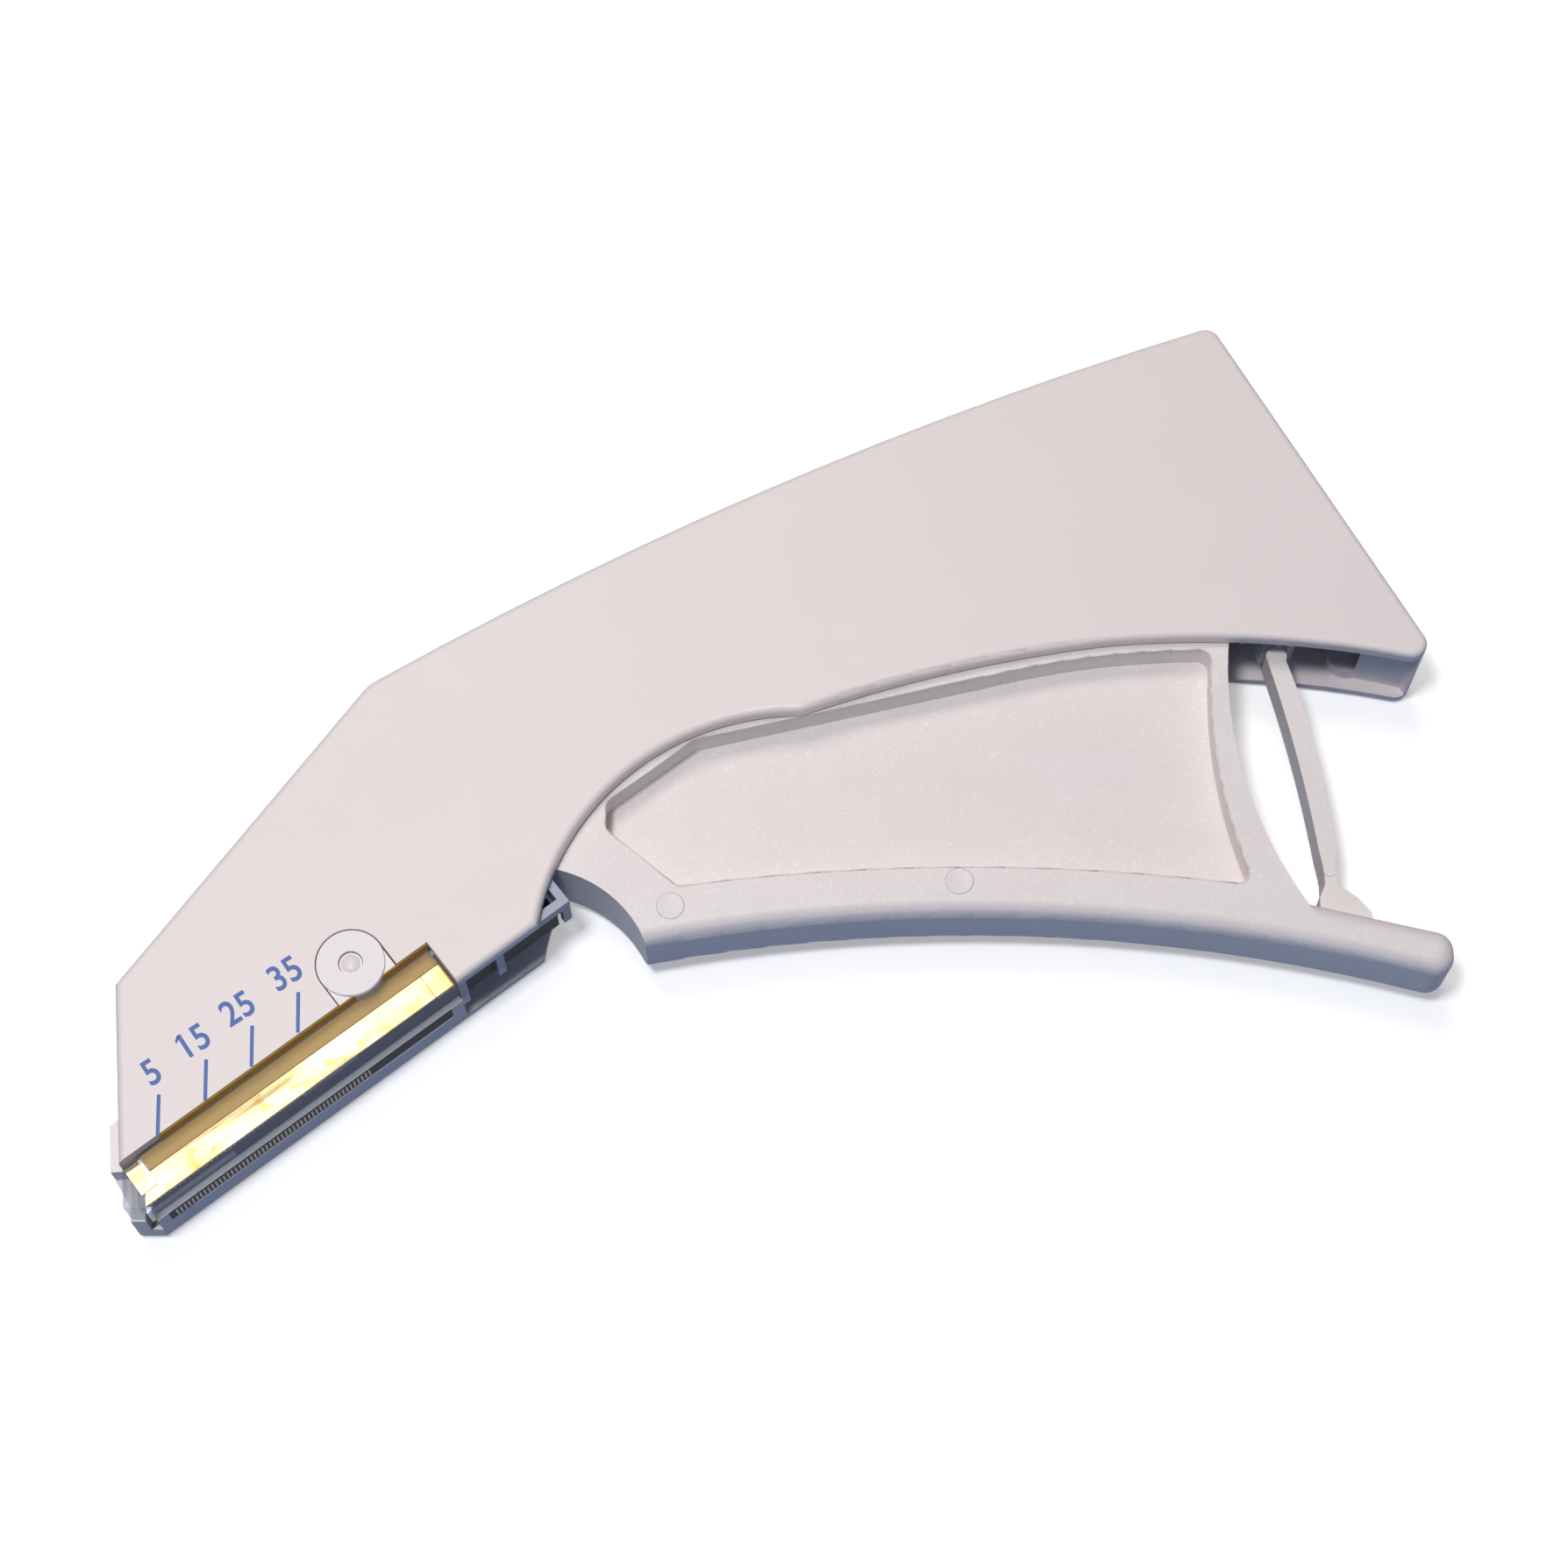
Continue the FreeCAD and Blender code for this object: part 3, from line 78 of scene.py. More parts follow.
magazine = Slant(-38.34, -44.5, MAGAZINE_ANGLE)
spring_channel = Slant(98.2, 28.0, CHANNEL_ANGLE)
print("magazine starts at", [round(v, 4) for v in magazine.at(0, 0)])

# %% [markdown]
# Shader maths reads best as plain sums. This small class wraps a socket, and each operator adds
# the Math node that does it, so noise * 0.2 + 0.5 is one line instead of two nodes and two links.
# Any other node comes from one function, which takes its type, its settings and its sockets.


# %% A socket that can be added and multiplied
class Field:
    """A number that varies over a surface."""

    def __init__(self, tree, socket):
        self.tree = tree
        self.socket = socket

    def maths(self, operation, *others, clamp=False):
        """A Math node on this field and others."""
        settings = {"operation": operation, "use_clamp": clamp}
        made = add_node(self.tree, "ShaderNodeMath", settings, dict(enumerate((self, *others))))
        return Field(self.tree, made.outputs[0])

    def __add__(self, other):
        return self.maths("ADD", other)

    __radd__ = __add__

    def __mul__(self, other):
        return self.maths("MULTIPLY", other)

    __rmul__ = __mul__

    def __sub__(self, other):
        return self.maths("SUBTRACT", other)

    def __rsub__(self, other):
        return self * -1.0 + other

    def above(self, level, softness):
        """0 below a level, 1 above it, with a soft step between."""
        return ((self - level) * (0.5 / softness)).maths("ADD", 0.5, clamp=True)


def plug(tree, target, value):
    """Links a field or a socket to a target, or sets the target's own value."""
    if isinstance(value, Field):
        value = value.socket
    if isinstance(value, bpy.types.NodeSocket):
        tree.links.new(value, target)
    else:
        target.default_value = value


def add_node(tree, kind, settings=None, sockets=None):
    """A node of a type, with its settings and then the values or links of its sockets."""
    made = tree.nodes.new(kind)
    for name, value in (settings or {}).items():
        setattr(made, name, value)
    for place, value in (sockets or {}).items():
        plug(tree, made.inputs[place], value)
    return made


print("shader sums are ready")

# %% [markdown]
# Each finish is a Principled shader. This class makes the material, with the object's own
# coordinates in metres behind every pattern. The colour and the roughness that it starts with are
# plain values, which a finish then lets vary by a field.

# %% A material with its nodes
MIX_FIRST = 6
MIX_SECOND = 7
MIX_COLOR = 2
finishes = {}


class Finish:
    """A material built around one Principled shader."""

    def __init__(self, name, color, roughness, **constants):
        self.material = bpy.data.materials.new(name)
        self.material.use_nodes = True
        self.tree = self.material.node_tree
        self.shader = self.tree.nodes["Principled BSDF"]
        self.set("Base Color", (*color, 1.0))
        self.set("Roughness", roughness)
        for socket, value in constants.items():
            self.set(socket, value)
        self.place = self.node("ShaderNodeTexCoord").outputs["Object"]

    def node(self, kind, settings=None, sockets=None):
        """A node in this material."""
        return add_node(self.tree, kind, settings, sockets)

    def set(self, socket, value):
        """Sets one socket of the shader, or links a field to it."""
        plug(self.tree, self.shader.inputs[socket], value)

    def vary(self, socket, field, low, high):
        """Lets a socket of the shader go from low to high with a field."""
        self.set(socket, field * (high - low) + low)

    def axis(self, letter):
        """The place along X, Y or Z, in metres."""
        split = self.node("ShaderNodeSeparateXYZ", sockets={"Vector": self.place})
        return Field(self.tree, split.outputs[letter])

    def noise(self, size_mm, detail=2.0, stretch=1.0, turn=0.0):
        """Noise whose lumps are about one size. A stretch under 1 draws them out along a turn."""
        place = self.place
        if stretch != 1.0:
            spin = {"Vector": place, "Rotation": (0, 0, -turn)}
            spun = self.node("ShaderNodeMapping", sockets=spin).outputs[0]
            draw = {"Vector": spun, "Scale": (stretch, 1, 1)}
            place = self.node("ShaderNodeMapping", sockets=draw).outputs[0]
        lumps = {"Vector": place, "Scale": 1 / (size_mm * MM), "Detail": detail}
        made = self.node("ShaderNodeTexNoise", sockets=lumps)
        return Field(self.tree, made.outputs["Fac"])

    def cells(self, size_mm):
        """A random number for each small cell."""
        grid = {"Vector": self.place, "Scale": 1 / (size_mm * MM)}
        made = self.node("ShaderNodeTexVoronoi", sockets=grid)
        split = self.node("ShaderNodeSeparateColor", sockets={"Color": made.outputs["Color"]})
        return Field(self.tree, split.outputs[0])

    def blend(self, factor, first, second):
        """A colour between two, by a field."""
        sockets = {0: factor, MIX_FIRST: (*first, 1.0), MIX_SECOND: (*second, 1.0)}
        return self.node("ShaderNodeMix", {"data_type": "RGBA"}, sockets).outputs[MIX_COLOR]

    def bump(self, height, depth_mm):
        """Raises the surface by a field."""
        relief = {"Height": height, "Distance": depth_mm * MM, "Strength": 1.0}
        self.set("Normal", self.node("ShaderNodeBump", sockets=relief).outputs[0])

    def keep(self, use):
        """Keeps the material under the use that later steps ask for."""
        finishes[use] = self.material
        print("finish:", use)


print("materials can be built")

# %% [markdown]
# The housing is injection-moulded ABS with a satin face: nearly white, a touch warm, with a
# texture so fine that it only softens the reflections. Two noises do it: a broad one that shifts
# the colour by a percent, and a fine one for the grain.

# %% Housing plastic
PLASTIC_IOR = 1.5
WARM_WHITE = (0.81, 0.73, 0.70)
SATIN_SIZE = 0.18
SATIN_DEPTH = 0.004


def housing_plastic():
    """Satin white plastic, slightly warm."""
    finish = Finish("housing_plastic", WARM_WHITE, 0.42, IOR=PLASTIC_IOR)
    drift = finish.noise(14.0)
    finish.set("Base Color", finish.blend(drift, (0.80, 0.715, 0.69), (0.82, 0.745, 0.72)))
    grain = finish.noise(SATIN_SIZE, detail=3.0)
    finish.vary("Roughness", grain, 0.37, 0.47)
    finish.bump(grain, SATIN_DEPTH)
    return finish


housing_plastic().keep("housing")

# %% [markdown]
# The magazine's base is white round the ring, where it shows in the housing's face. Its rear end
# is a frame of thin walls, seen from below: the near rail gets a painted shade of dark blue-grey,
# and the rest is the cold white of the ring. A soft step along X and another along Z pick the rail
# out.

# %% Base plastic
RAIL_START = -4.0
RAIL_DEPTH = 6.0
RAIL_EDGE = 1.0


def base_plastic():
    """Cold white, with painted shade on the near rail at the rear end."""
    finish = Finish("base_plastic", WARM_WHITE, 0.4, IOR=PLASTIC_IOR)
    rear = finish.axis("X").above(RAIL_START * MM, RAIL_EDGE * MM)
    near = finish.axis("Z").above(RAIL_DEPTH * MM, RAIL_EDGE * MM)
    # Painted shade: the near rail at the rear end is darkened to blue-grey.
    finish.set("Base Color", finish.blend(rear * near, (0.79, 0.76, 0.76), (0.30, 0.33, 0.41)))
    grain = finish.noise(SATIN_SIZE, detail=3.0)
    finish.vary("Roughness", grain, 0.33, 0.43)
    finish.bump(grain, SATIN_DEPTH)
    return finish


base_plastic().keep("base")

# %% [markdown]
# The trigger and strut are moulded in a spark-eroded tool, whose fine pits catch the light as
# tiny sparkles. Small random cells give each pit its own brightness, the brightest ones are
# lightened in the colour as painted highlights, and the bump gives each pit a facet of its own.

# %% Grained lever plastic
PIT_SIZE = 0.22
BRIGHT_PITS = 0.93


def lever_plastic():
    """White plastic with a fine grain and painted sparkle highlights."""
    finish = Finish("lever_plastic", (0.76, 0.72, 0.72), 0.4, IOR=PLASTIC_IOR)
    pits = finish.cells(PIT_SIZE)
    grain = finish.noise(0.3, detail=4.0)
    # Painted highlights: the brightest pits are lightened in the base colour as sparkles.
    painted_sparkle = pits.above(BRIGHT_PITS, 0.02)
    cloud = finish.noise(6.0, detail=3.0)
    shade = cloud * 0.6 + painted_sparkle * 0.8
    finish.set("Base Color", finish.blend(shade, (0.76, 0.695, 0.67), (0.86, 0.81, 0.785)))
    finish.vary("Roughness", grain, 0.28, 0.58)
    finish.bump(grain * 0.7 + pits * 0.3, 0.022)
    return finish


lever_plastic().keep("lever")

# %% [markdown]
# The inner slides are plain white acetal: smoother than the housing and a little translucent
# looking, so a slightly lower roughness is enough.


# %% Inner plastic
def inner_plastic():
    """Smooth grey-white plastic of the hidden slides."""
    finish = Finish("inner_plastic", (0.70, 0.70, 0.71), 0.33, IOR=PLASTIC_IOR)
    drift = finish.noise(3.0)
    finish.set("Base Color", finish.blend(drift, (0.66, 0.66, 0.68), (0.74, 0.74, 0.75)))
    finish.vary("Roughness", drift, 0.28, 0.38)
    return finish


inner_plastic().keep("inner")

# %% [markdown]
# The channel over the staples is a thin, bright, gold-coloured strip. It is folded from sheet, so
# it isn't perfectly flat: a long low wave along the magazine breaks the reflections up, and a
# fine scratch noise runs the same way. Towards the rear and in spots the colour is browner.

# %% Gold metal
ALONG = math.radians(MAGAZINE_ANGLE)
BROWNING_START = -11.0
BROWNING_EDGE = 6.0


def gold_metal():
    """Polished gold-coloured strip with a slight wave and brown spots."""
    finish = Finish("gold_metal", (0.94, 0.66, 0.24), 0.16, Metallic=1.0)
    wave = finish.noise(5.0, detail=1.0, stretch=0.25, turn=ALONG)
    scratch = finish.noise(0.35, stretch=0.04, turn=ALONG)
    tarnish = finish.noise(2.4, detail=4.0, stretch=0.5, turn=ALONG)
    # The colour turns browner towards the rear.
    rear_browning = finish.axis("X").above(BROWNING_START * MM, BROWNING_EDGE * MM) * 0.4
    spots = finish.noise(1.5, detail=4.0, stretch=0.7, turn=ALONG).above(0.6, 0.04) * 0.6
    change = (tarnish + rear_browning + spots).maths("MINIMUM", 1.0)
    finish.set("Base Color", finish.blend(change, (0.99, 0.78, 0.40), (0.70, 0.40, 0.10)))
    finish.vary("Roughness", scratch, 0.05, 0.17)
    finish.bump(wave + scratch * 0.02, 0.22)
    return finish


gold_metal().keep("gold")

# %% [markdown]
# The strip's upper lip is the same sheet turned away from the light, with a duller, brushed skin.
# Its darker, browner colour is painted shade.


# %% Gold with painted shade
def dull_gold():
    """Brushed gold-coloured sheet, darkened by painted shade."""
    finish = Finish("dull_gold", (0.62, 0.36, 0.03), 0.5, Metallic=0.15)
    brushed = finish.noise(0.5, detail=3.0, stretch=0.05, turn=ALONG)
    # Painted shade: the lip's colour is a darker copy of the gold, for the shade it lies in.
    finish.set("Base Color", finish.blend(brushed, (0.46, 0.24, 0.012), (0.72, 0.42, 0.045)))
    finish.vary("Roughness", brushed, 0.42, 0.62)
    finish.bump(brushed, 0.01)
    return finish


dull_gold().keep("shaded gold")

# %% [markdown]
# Ground steel for the blade, the anvil and the pins, and drawn wire for the staples and springs.
# They are all metals with a fine noise drawn out along the marks that the grinding or drawing
# left, and only differ in size and brightness, so one function makes the four of them. The darker
# wire for the legs' tips is the drawn wire with painted shade.


# %% Steel and wire
def steel(name, color, roughness, grain_mm, turn=ALONG):
    """Ground or drawn steel, with its marks along one direction."""
    finish = Finish(name, color, roughness, Metallic=1.0)
    marks = finish.noise(grain_mm, stretch=0.08, turn=turn)
    darker = tuple(v * 0.8 for v in color)
    finish.set("Base Color", finish.blend(marks, darker, color))
    finish.vary("Roughness", marks, roughness - 0.1, roughness + 0.1)
    finish.bump(marks, 0.004)
    return finish


steel("ground_steel", (0.56, 0.56, 0.58), 0.3, grain_mm=0.3).keep("steel")
steel("drawn_wire", (0.66, 0.64, 0.62), 0.28, grain_mm=0.2).keep("wire")
# Painted shade: a darker copy of the drawn wire, for the tips that lie in shade.
steel("shaded_wire", (0.42, 0.37, 0.34), 0.45, grain_mm=0.2).keep("shaded wire")
steel("spring_wire", (0.50, 0.50, 0.53), 0.3, grain_mm=0.3, turn=0.0).keep("spring")

# %% [markdown]
# The magazine's cover is clear polycarbonate. A bending glass shader would leave what is under it
# in the dark, because light that is bent on its way in is hard to trace. So the cover mixes a
# see-through shader with a glossy plastic one, by how steeply the surface is seen.


# %% Clear plastic
def clear_plastic():
    """Clear, faintly blue-grey plastic with bright reflections."""
    finish = Finish("clear_plastic", (0.30, 0.33, 0.40), 0.05, IOR=1.58)
    smear = finish.noise(1.6, detail=3.0, stretch=0.3, turn=ALONG)
    finish.vary("Roughness", smear, 0.02, 0.08)
    tint = {"Color": (0.93, 0.95, 0.98, 1.0)}
    through = finish.node("ShaderNodeBsdfTransparent", sockets=tint).outputs[0]
    rim = finish.node("ShaderNodeLayerWeight", sockets={"Blend": 0.35})
    share = Field(finish.tree, rim.outputs["Facing"]) * 0.45 + 0.06
    parts = {0: share, 1: through, 2: finish.shader.outputs[0]}
    mix = finish.node("ShaderNodeMixShader", sockets=parts)
    output = finish.tree.nodes["Material Output"]
    plug(finish.tree, output.inputs["Surface"], mix.outputs[0])
    return finish


clear_plastic().keep("clear")

# %% [markdown]
# The staple count is pad-printed in dark blue. The ink is a little thin where the plastic's grain
# comes through, so its colour drifts and its gloss isn't even.


# %% Printing ink
def print_ink():
    """Dark blue pad-printing ink."""
    finish = Finish("print_ink", (0.018, 0.085, 0.34), 0.45)
    thin = finish.noise(0.35, detail=3.0)
    finish.set("Base Color", finish.blend(thin, (0.014, 0.07, 0.30), (0.035, 0.13, 0.42)))
    finish.vary("Roughness", thin, 0.38, 0.53)
    return finish


print_ink().keep("ink")

# %% [markdown]
# The slot under the magazine and the walls of the track behind it lie in deep shade and show
# almost no light, so their shade is painted in one nearly black finish.


# %% Dark gap
def dark_gap():
    """Nearly black painted shade, without gloss."""
    finish = Finish("dark_gap", (0.012, 0.010, 0.013), 0.7)
    speckle = finish.noise(0.4, detail=3.0)
    finish.set("Base Color", finish.blend(speckle, (0.008, 0.007, 0.009), (0.022, 0.018, 0.022)))
    return finish


dark_gap().keep("shade")

# %% [markdown]
# Each CAD node keeps its shape and gets the finish of the real piece, save the staple track, which
# gets the painted shade. The node's mesh isn't touched: only its material slots are set.

# %% Dress the CAD nodes
FINISH_NODES = {
    "housing": ("far_shell", "near_shell"),
    "base": ("magazine_base",),
    "lever": ("trigger", "return_strut"),
    "inner": ("spring_plunger", "driver_carrier", "nose_guide", "follower", "end_plug"),
    "gold": ("staple_channel", "channel_bracket"),
    "steel": ("former", "anvil", "feed_rod", "pivot_pin", "drive_pin"),
    # The staple track gets the nearly black painted shade.
    "shade": ("staple_track",),
    "wire": ("staples",),
    "spring": ("return_spring", "feed_spring"),
    "clear": ("magazine_cover",),
}


def paint(thing, finish):
    """Gives an object one finish all over."""
    thing.data.materials.clear()
    thing.data.materials.append(finishes[finish])


for finish, dressed in FINISH_NODES.items():
    for node in dressed:
        paint(nodes[node], finish)
print("dressed", sum(len(dressed) for dressed in FINISH_NODES.values()), "nodes")

# %% [markdown]
# The staple scale is four ticks over the window with a number over each. A tick is a plane with
# its corners rounded and a thin edge drawn up.

# %% Scale ticks
INK_RISE = 0.02
TICK_TOPS = {5: (-37.8, -31.0), 15: (-32.5, -26.7), 25: (-27.3, -22.5), 35: (-22.05, -18.3)}
TICK_LENGTH = 5.1
TICK_WIDTH = 0.46
TICK_ROUND = 0.3
TICK_LEAN = math.radians(2.6)


def settle(thing):
    """Moves an object's place into its mesh."""
    bpy.context.view_layer.update()
    thing.data.transform(thing.matrix_world)
    thing.matrix_world = Matrix.Identity(4)


def tick(number, top):
    """One tick: a plane drawn out to the tick's size and given a thin edge."""
    bpy.ops.object.select_all(action="DESELECT")
    half = TICK_LENGTH / 2
    middle = Vector((top[0] + math.sin(TICK_LEAN) * half, top[1] - half, BODY_WIDTH))
    bpy.ops.mesh.primitive_plane_add(size=1, location=middle * MM)
    made = bpy.context.object
    made.name = f"scale_tick_{number}"
    made.scale = (TICK_WIDTH * MM, TICK_LENGTH * MM, MM)
    bpy.ops.object.transform_apply(location=False, rotation=False, scale=True)
    bpy.ops.object.mode_set(mode="EDIT")
    bpy.ops.mesh.select_all(action="SELECT")
    bpy.ops.mesh.bevel(offset=TICK_WIDTH * MM * TICK_ROUND, segments=3, affect="VERTICES")
    bpy.ops.mesh.select_all(action="SELECT")
    bpy.ops.mesh.extrude_region_move(TRANSFORM_OT_translate={"value": (0, 0, INK_RISE * MM)})
    bpy.ops.mesh.select_all(action="SELECT")
    bpy.ops.mesh.normals_make_consistent(inside=False)
    bpy.ops.object.mode_set(mode="OBJECT")
    made.rotation_euler = (0, 0, TICK_LEAN)
    settle(made)
    paint(made, "ink")
    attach(made, "housing")
    return made


ticks = [tick(number, top) for number, top in TICK_TOPS.items()]
print("scale ticks:", [mark.name for mark in ticks])

# %% [markdown]
# The numbers start as text, squeezed to the narrow figures of such a scale, turned to follow the
# magazine and made a thin mesh that lies on the housing's face. The printed 15 has a 1 with a
# short slanted flag, which is added to its mesh.

# %% Scale numbers
NUMBER_SPOTS = {5: (-38.8, -28.4), 15: (-34.15, -24.6), 25: (-29.1, -20.5), 35: (-23.7, -16.1)}
NUMBER_HEIGHT = 3.35
NUMBER_WEIGHT = 0.07
NUMBER_NARROW = 0.86
NUMBER_SPACING = 1.05
NUMBER_TURN = math.radians(35.0)
TEXT_SIZE = 1.37
FLAGGED = 15
FLAG = [(0.0, 0.0), (0.0, -0.42), (-0.62, -0.86), (-0.62, -0.44)]
FLAG_INSET = 0.1
STEM_REACH = 0.5


def add_flag(made):
    """The short slanted flag of a printed 1, added to the number's mesh."""
    left = min(vert.co.x for vert in made.data.vertices)
    stem = [vert.co.y for vert in made.data.vertices if vert.co.x < left + STEM_REACH * MM]
    foot = left + FLAG_INSET * MM
    top = max(stem)
    thick = INK_RISE * MM / 2
    shape = bmesh.new()
    shape.from_mesh(made.data)
    low = [shape.verts.new((foot + x * MM, top + y * MM, -thick)) for x, y in FLAG]
    base = shape.faces.new(low)
    grown = bmesh.ops.extrude_face_region(shape, geom=[base])["geom"]
    raised = [item for item in grown if isinstance(item, bmesh.types.BMVert)]
    bmesh.ops.translate(shape, vec=(0, 0, thick * 2), verts=raised)
    bmesh.ops.recalc_face_normals(shape, faces=shape.faces)
    shape.to_mesh(made.data)
    shape.free()


def printed(number, spot):
    """One printed number."""
    bpy.ops.object.select_all(action="DESELECT")
    bpy.ops.object.text_add(location=(0, 0, 0))
    text = bpy.context.object.data
    text.body = str(number)
    text.align_x = "CENTER"
    text.align_y = "CENTER"
    text.size = NUMBER_HEIGHT * MM * TEXT_SIZE
    text.offset = NUMBER_WEIGHT * MM
    text.extrude = INK_RISE * MM / 2
    text.space_character = NUMBER_SPACING
    bpy.ops.object.convert(target="MESH")
    made = bpy.context.object
    made.name = f"scale_number_{number}"
    if number == FLAGGED:
        add_flag(made)
    made.scale = (NUMBER_NARROW, 1.0, 1.0)
    made.rotation_euler = (0, 0, NUMBER_TURN)
    made.location = Vector((*spot, BODY_WIDTH + INK_RISE / 2)) * MM
    settle(made)
    paint(made, "ink")
    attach(made, "housing")
    return made


numbers = [printed(number, spot) for number, spot in NUMBER_SPOTS.items()]
print("scale numbers:", [mark.name for mark in numbers])

# %% [markdown]
# The two springs are drawn again as wire coils, each with a mesh of its own. Each takes its place,
# radius and length from the CAD spring that it stands for. The end turns lie closed, as a ground
# spring's do.

# %% Springs
ALONG_X = 0
ALONG_Y = 1
COIL_STEPS = 22
CLOSED_ENDS = 0.35
RETURN_WIRE = 0.5
RETURN_TURNS = 12
RETURN_TRAVEL = 23.2
FEED_WIRE = 0.3
FEED_TURNS = 22
FEED_TRAVEL = 3.0


def reach(node, slant):
    """The lowest and highest corner of a CAD node in a slanted frame, in millimetres."""
    back = slant.turn.inverted()
    spots = [back @ (Vector(v.co) / MM - slant.origin) for v in nodes[node].data.vertices]
    low = Vector([min(spot[axis] for spot in spots) for axis in range(3)])
    high = Vector([max(spot[axis] for spot in spots) for axis in range(3)])
    return low, high


def coil_points(low, high, slant, along, wire, turns):
    """The points of a coil's wire between two corners, with its axis along X or Y of a frame."""
    across = 1 - along
    middle = (low + high) / 2
    radius = (high[across] - low[across] - wire) / 2
    length = high[along] - low[along] - wire
    total = turns * COIL_STEPS
    points = []
    for step in range(total + 1):
        share = step / total
        angle = math.tau * step / COIL_STEPS
        eased = share - math.sin(math.tau * share) * CLOSED_ENDS / turns
        spot = Vector((0, 0, middle.z + radius * math.sin(angle)))
        spot[along] = low[along] + wire / 2 + length * eased
        spot[across] = middle[across] + radius * math.cos(angle)
        points.append(slant.at(*spot))
    return points


def coil(node, slant, along, wire, turns):
    """A wire coil in the place of a CAD spring."""
    low, high = reach(node, slant)
    points = coil_points(low, high, slant, along, wire, turns)
    curve = bpy.data.curves.new(f"{node}_coil", "CURVE")
    curve.dimensions = "3D"
    curve.bevel_depth = wire / 2 * MM
    curve.bevel_resolution = 3
    curve.use_fill_caps = True
    spline = curve.splines.new("POLY")
    spline.points.add(len(points) - 1)
    for point, spot in zip(spline.points, points):
        point.co = (*spot, 1.0)
    made = bpy.data.objects.new(f"{node}_coil", curve)
    bpy.context.scene.collection.objects.link(made)
    bpy.ops.object.select_all(action="DESELECT")
    bpy.context.view_layer.objects.active = made
    made.select_set(True)
    bpy.ops.object.convert(target="MESH")
    made = bpy.context.object
    for polygon in made.data.polygons:
        polygon.use_smooth = True
    paint(made, "spring")
    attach(made, "housing")
    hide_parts(node)
    return made, low, high


def squeeze(made, low, high, slant, along, travel):
    """Gives a coil a mesh of its own; the squeeze towards its far end is not set up."""
    seat = (low + high) / 2
    seat[along] = high[along]
    axis = Vector((0, 0, 0))
    axis[along] = 1
    keep = 1 - travel / (high[along] - low[along])
    tuple(slant.at(*seat))
    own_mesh(made)


return_coil, low, high = coil("return_spring", spring_channel, ALONG_Y, RETURN_WIRE, RETURN_TURNS)
squeeze(return_coil, low, high, spring_channel, ALONG_Y, RETURN_TRAVEL)
feed_coil, low, high = coil("feed_spring", magazine, ALONG_X, FEED_WIRE, FEED_TURNS)
squeeze(feed_coil, low, high, magazine, ALONG_X, FEED_TRAVEL)
print("springs:", return_coil.name, feed_coil.name)

# %% [markdown]
# Small marks of moulding and assembly: two ejector marks on the trigger's face, the rounded head
# of the pin that holds the magazine's ring, and the floor of the groove round that ring. Each is a
# profile of (radius, height) turned round its own axis.

# %% Turned marks
TRIGGER_FACE = 12.7
TURN_STEPS = 48
WELD = 1e-6
EJECTOR_SPOTS = [(22.2, -6.6), (57.4, -3.4)]
EJECTOR = [(0, 0.02), (1.35, 0.02), (1.5, 0.05), (1.62, 0.05), (1.72, 0.0), (0, -0.05)]
RING_PLACE = (36.0, 9.8)
HEAD = [(0, 0.34), (0.5, 0.3), (0.9, 0.16), (1.15, 0.02), (1.25, -0.1), (0, -0.2)]
HEAD_SINK = 0.4
GROOVE = [(4.03, -0.6), (4.03, -0.24), (4.17, -0.24), (4.17, -0.6), (4.03, -0.6)]


def piece_from(shape, name):
    """A new object with the mesh of a finished shape, in metres."""
    mesh = bpy.data.meshes.new(name)
    shape.to_mesh(mesh)
    shape.free()
    made = bpy.data.objects.new(name, mesh)
    bpy.context.scene.collection.objects.link(made)
    return made


def turned(name, profile, spot, finish, body):
    """A small turned piece: a profile turned about Z over a spot."""
    shape = bmesh.new()
    chain = [shape.verts.new((radius * MM, 0, height * MM)) for radius, height in profile]
    edges = [shape.edges.new(pair) for pair in zip(chain, chain[1:])]
    bmesh.ops.spin(shape, geom=chain + edges, axis=(0, 0, 1), cent=(0, 0, 0), angle=math.tau,
                   steps=TURN_STEPS, use_merge=True)
    bmesh.ops.remove_doubles(shape, verts=shape.verts, dist=WELD)
    bmesh.ops.recalc_face_normals(shape, faces=shape.faces)
    for face in shape.faces:
        face.smooth = True
    made = piece_from(shape, name)
    made.data.transform(Matrix.Translation(Vector(spot) * MM))
    paint(made, finish)
    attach(made, body)


for number, spot in enumerate(EJECTOR_SPOTS, start=1):
    turned(f"ejector_mark_{number}", EJECTOR, (*spot, TRIGGER_FACE), "lever", "trigger")
ring = magazine.at(*RING_PLACE) / MM
turned("ring_pin_head", HEAD, (*ring.xy, BODY_WIDTH - HEAD_SINK), "housing", "housing")
turned("ring_groove_floor", GROOVE, (*ring.xy, BODY_WIDTH), "housing", "housing")
print("turned marks: the ring lies at", [round(v, 1) for v in ring.xy])

# %% [markdown]
# The trigger's recess has a fine moulded bead round its rim, which catches the light. Its path is
# read from the trigger itself: the edges of the near face whose wall looks into the recess. The
# bead is a row of short round rods, each a little longer than its edge, so that they run together.

# %% Bead round the recess
RECESS_MIDDLE = Vector((60.0, 8.0))
RECESS_LOW = -12.0
SAME_HEIGHT = 0.01
STEEP = 0.3
BEAD_RADIUS = 0.12
BEAD_SINK = 0.05
BEAD_SIDES = 12
BEAD_OVERLAP = BEAD_RADIUS * 0.4


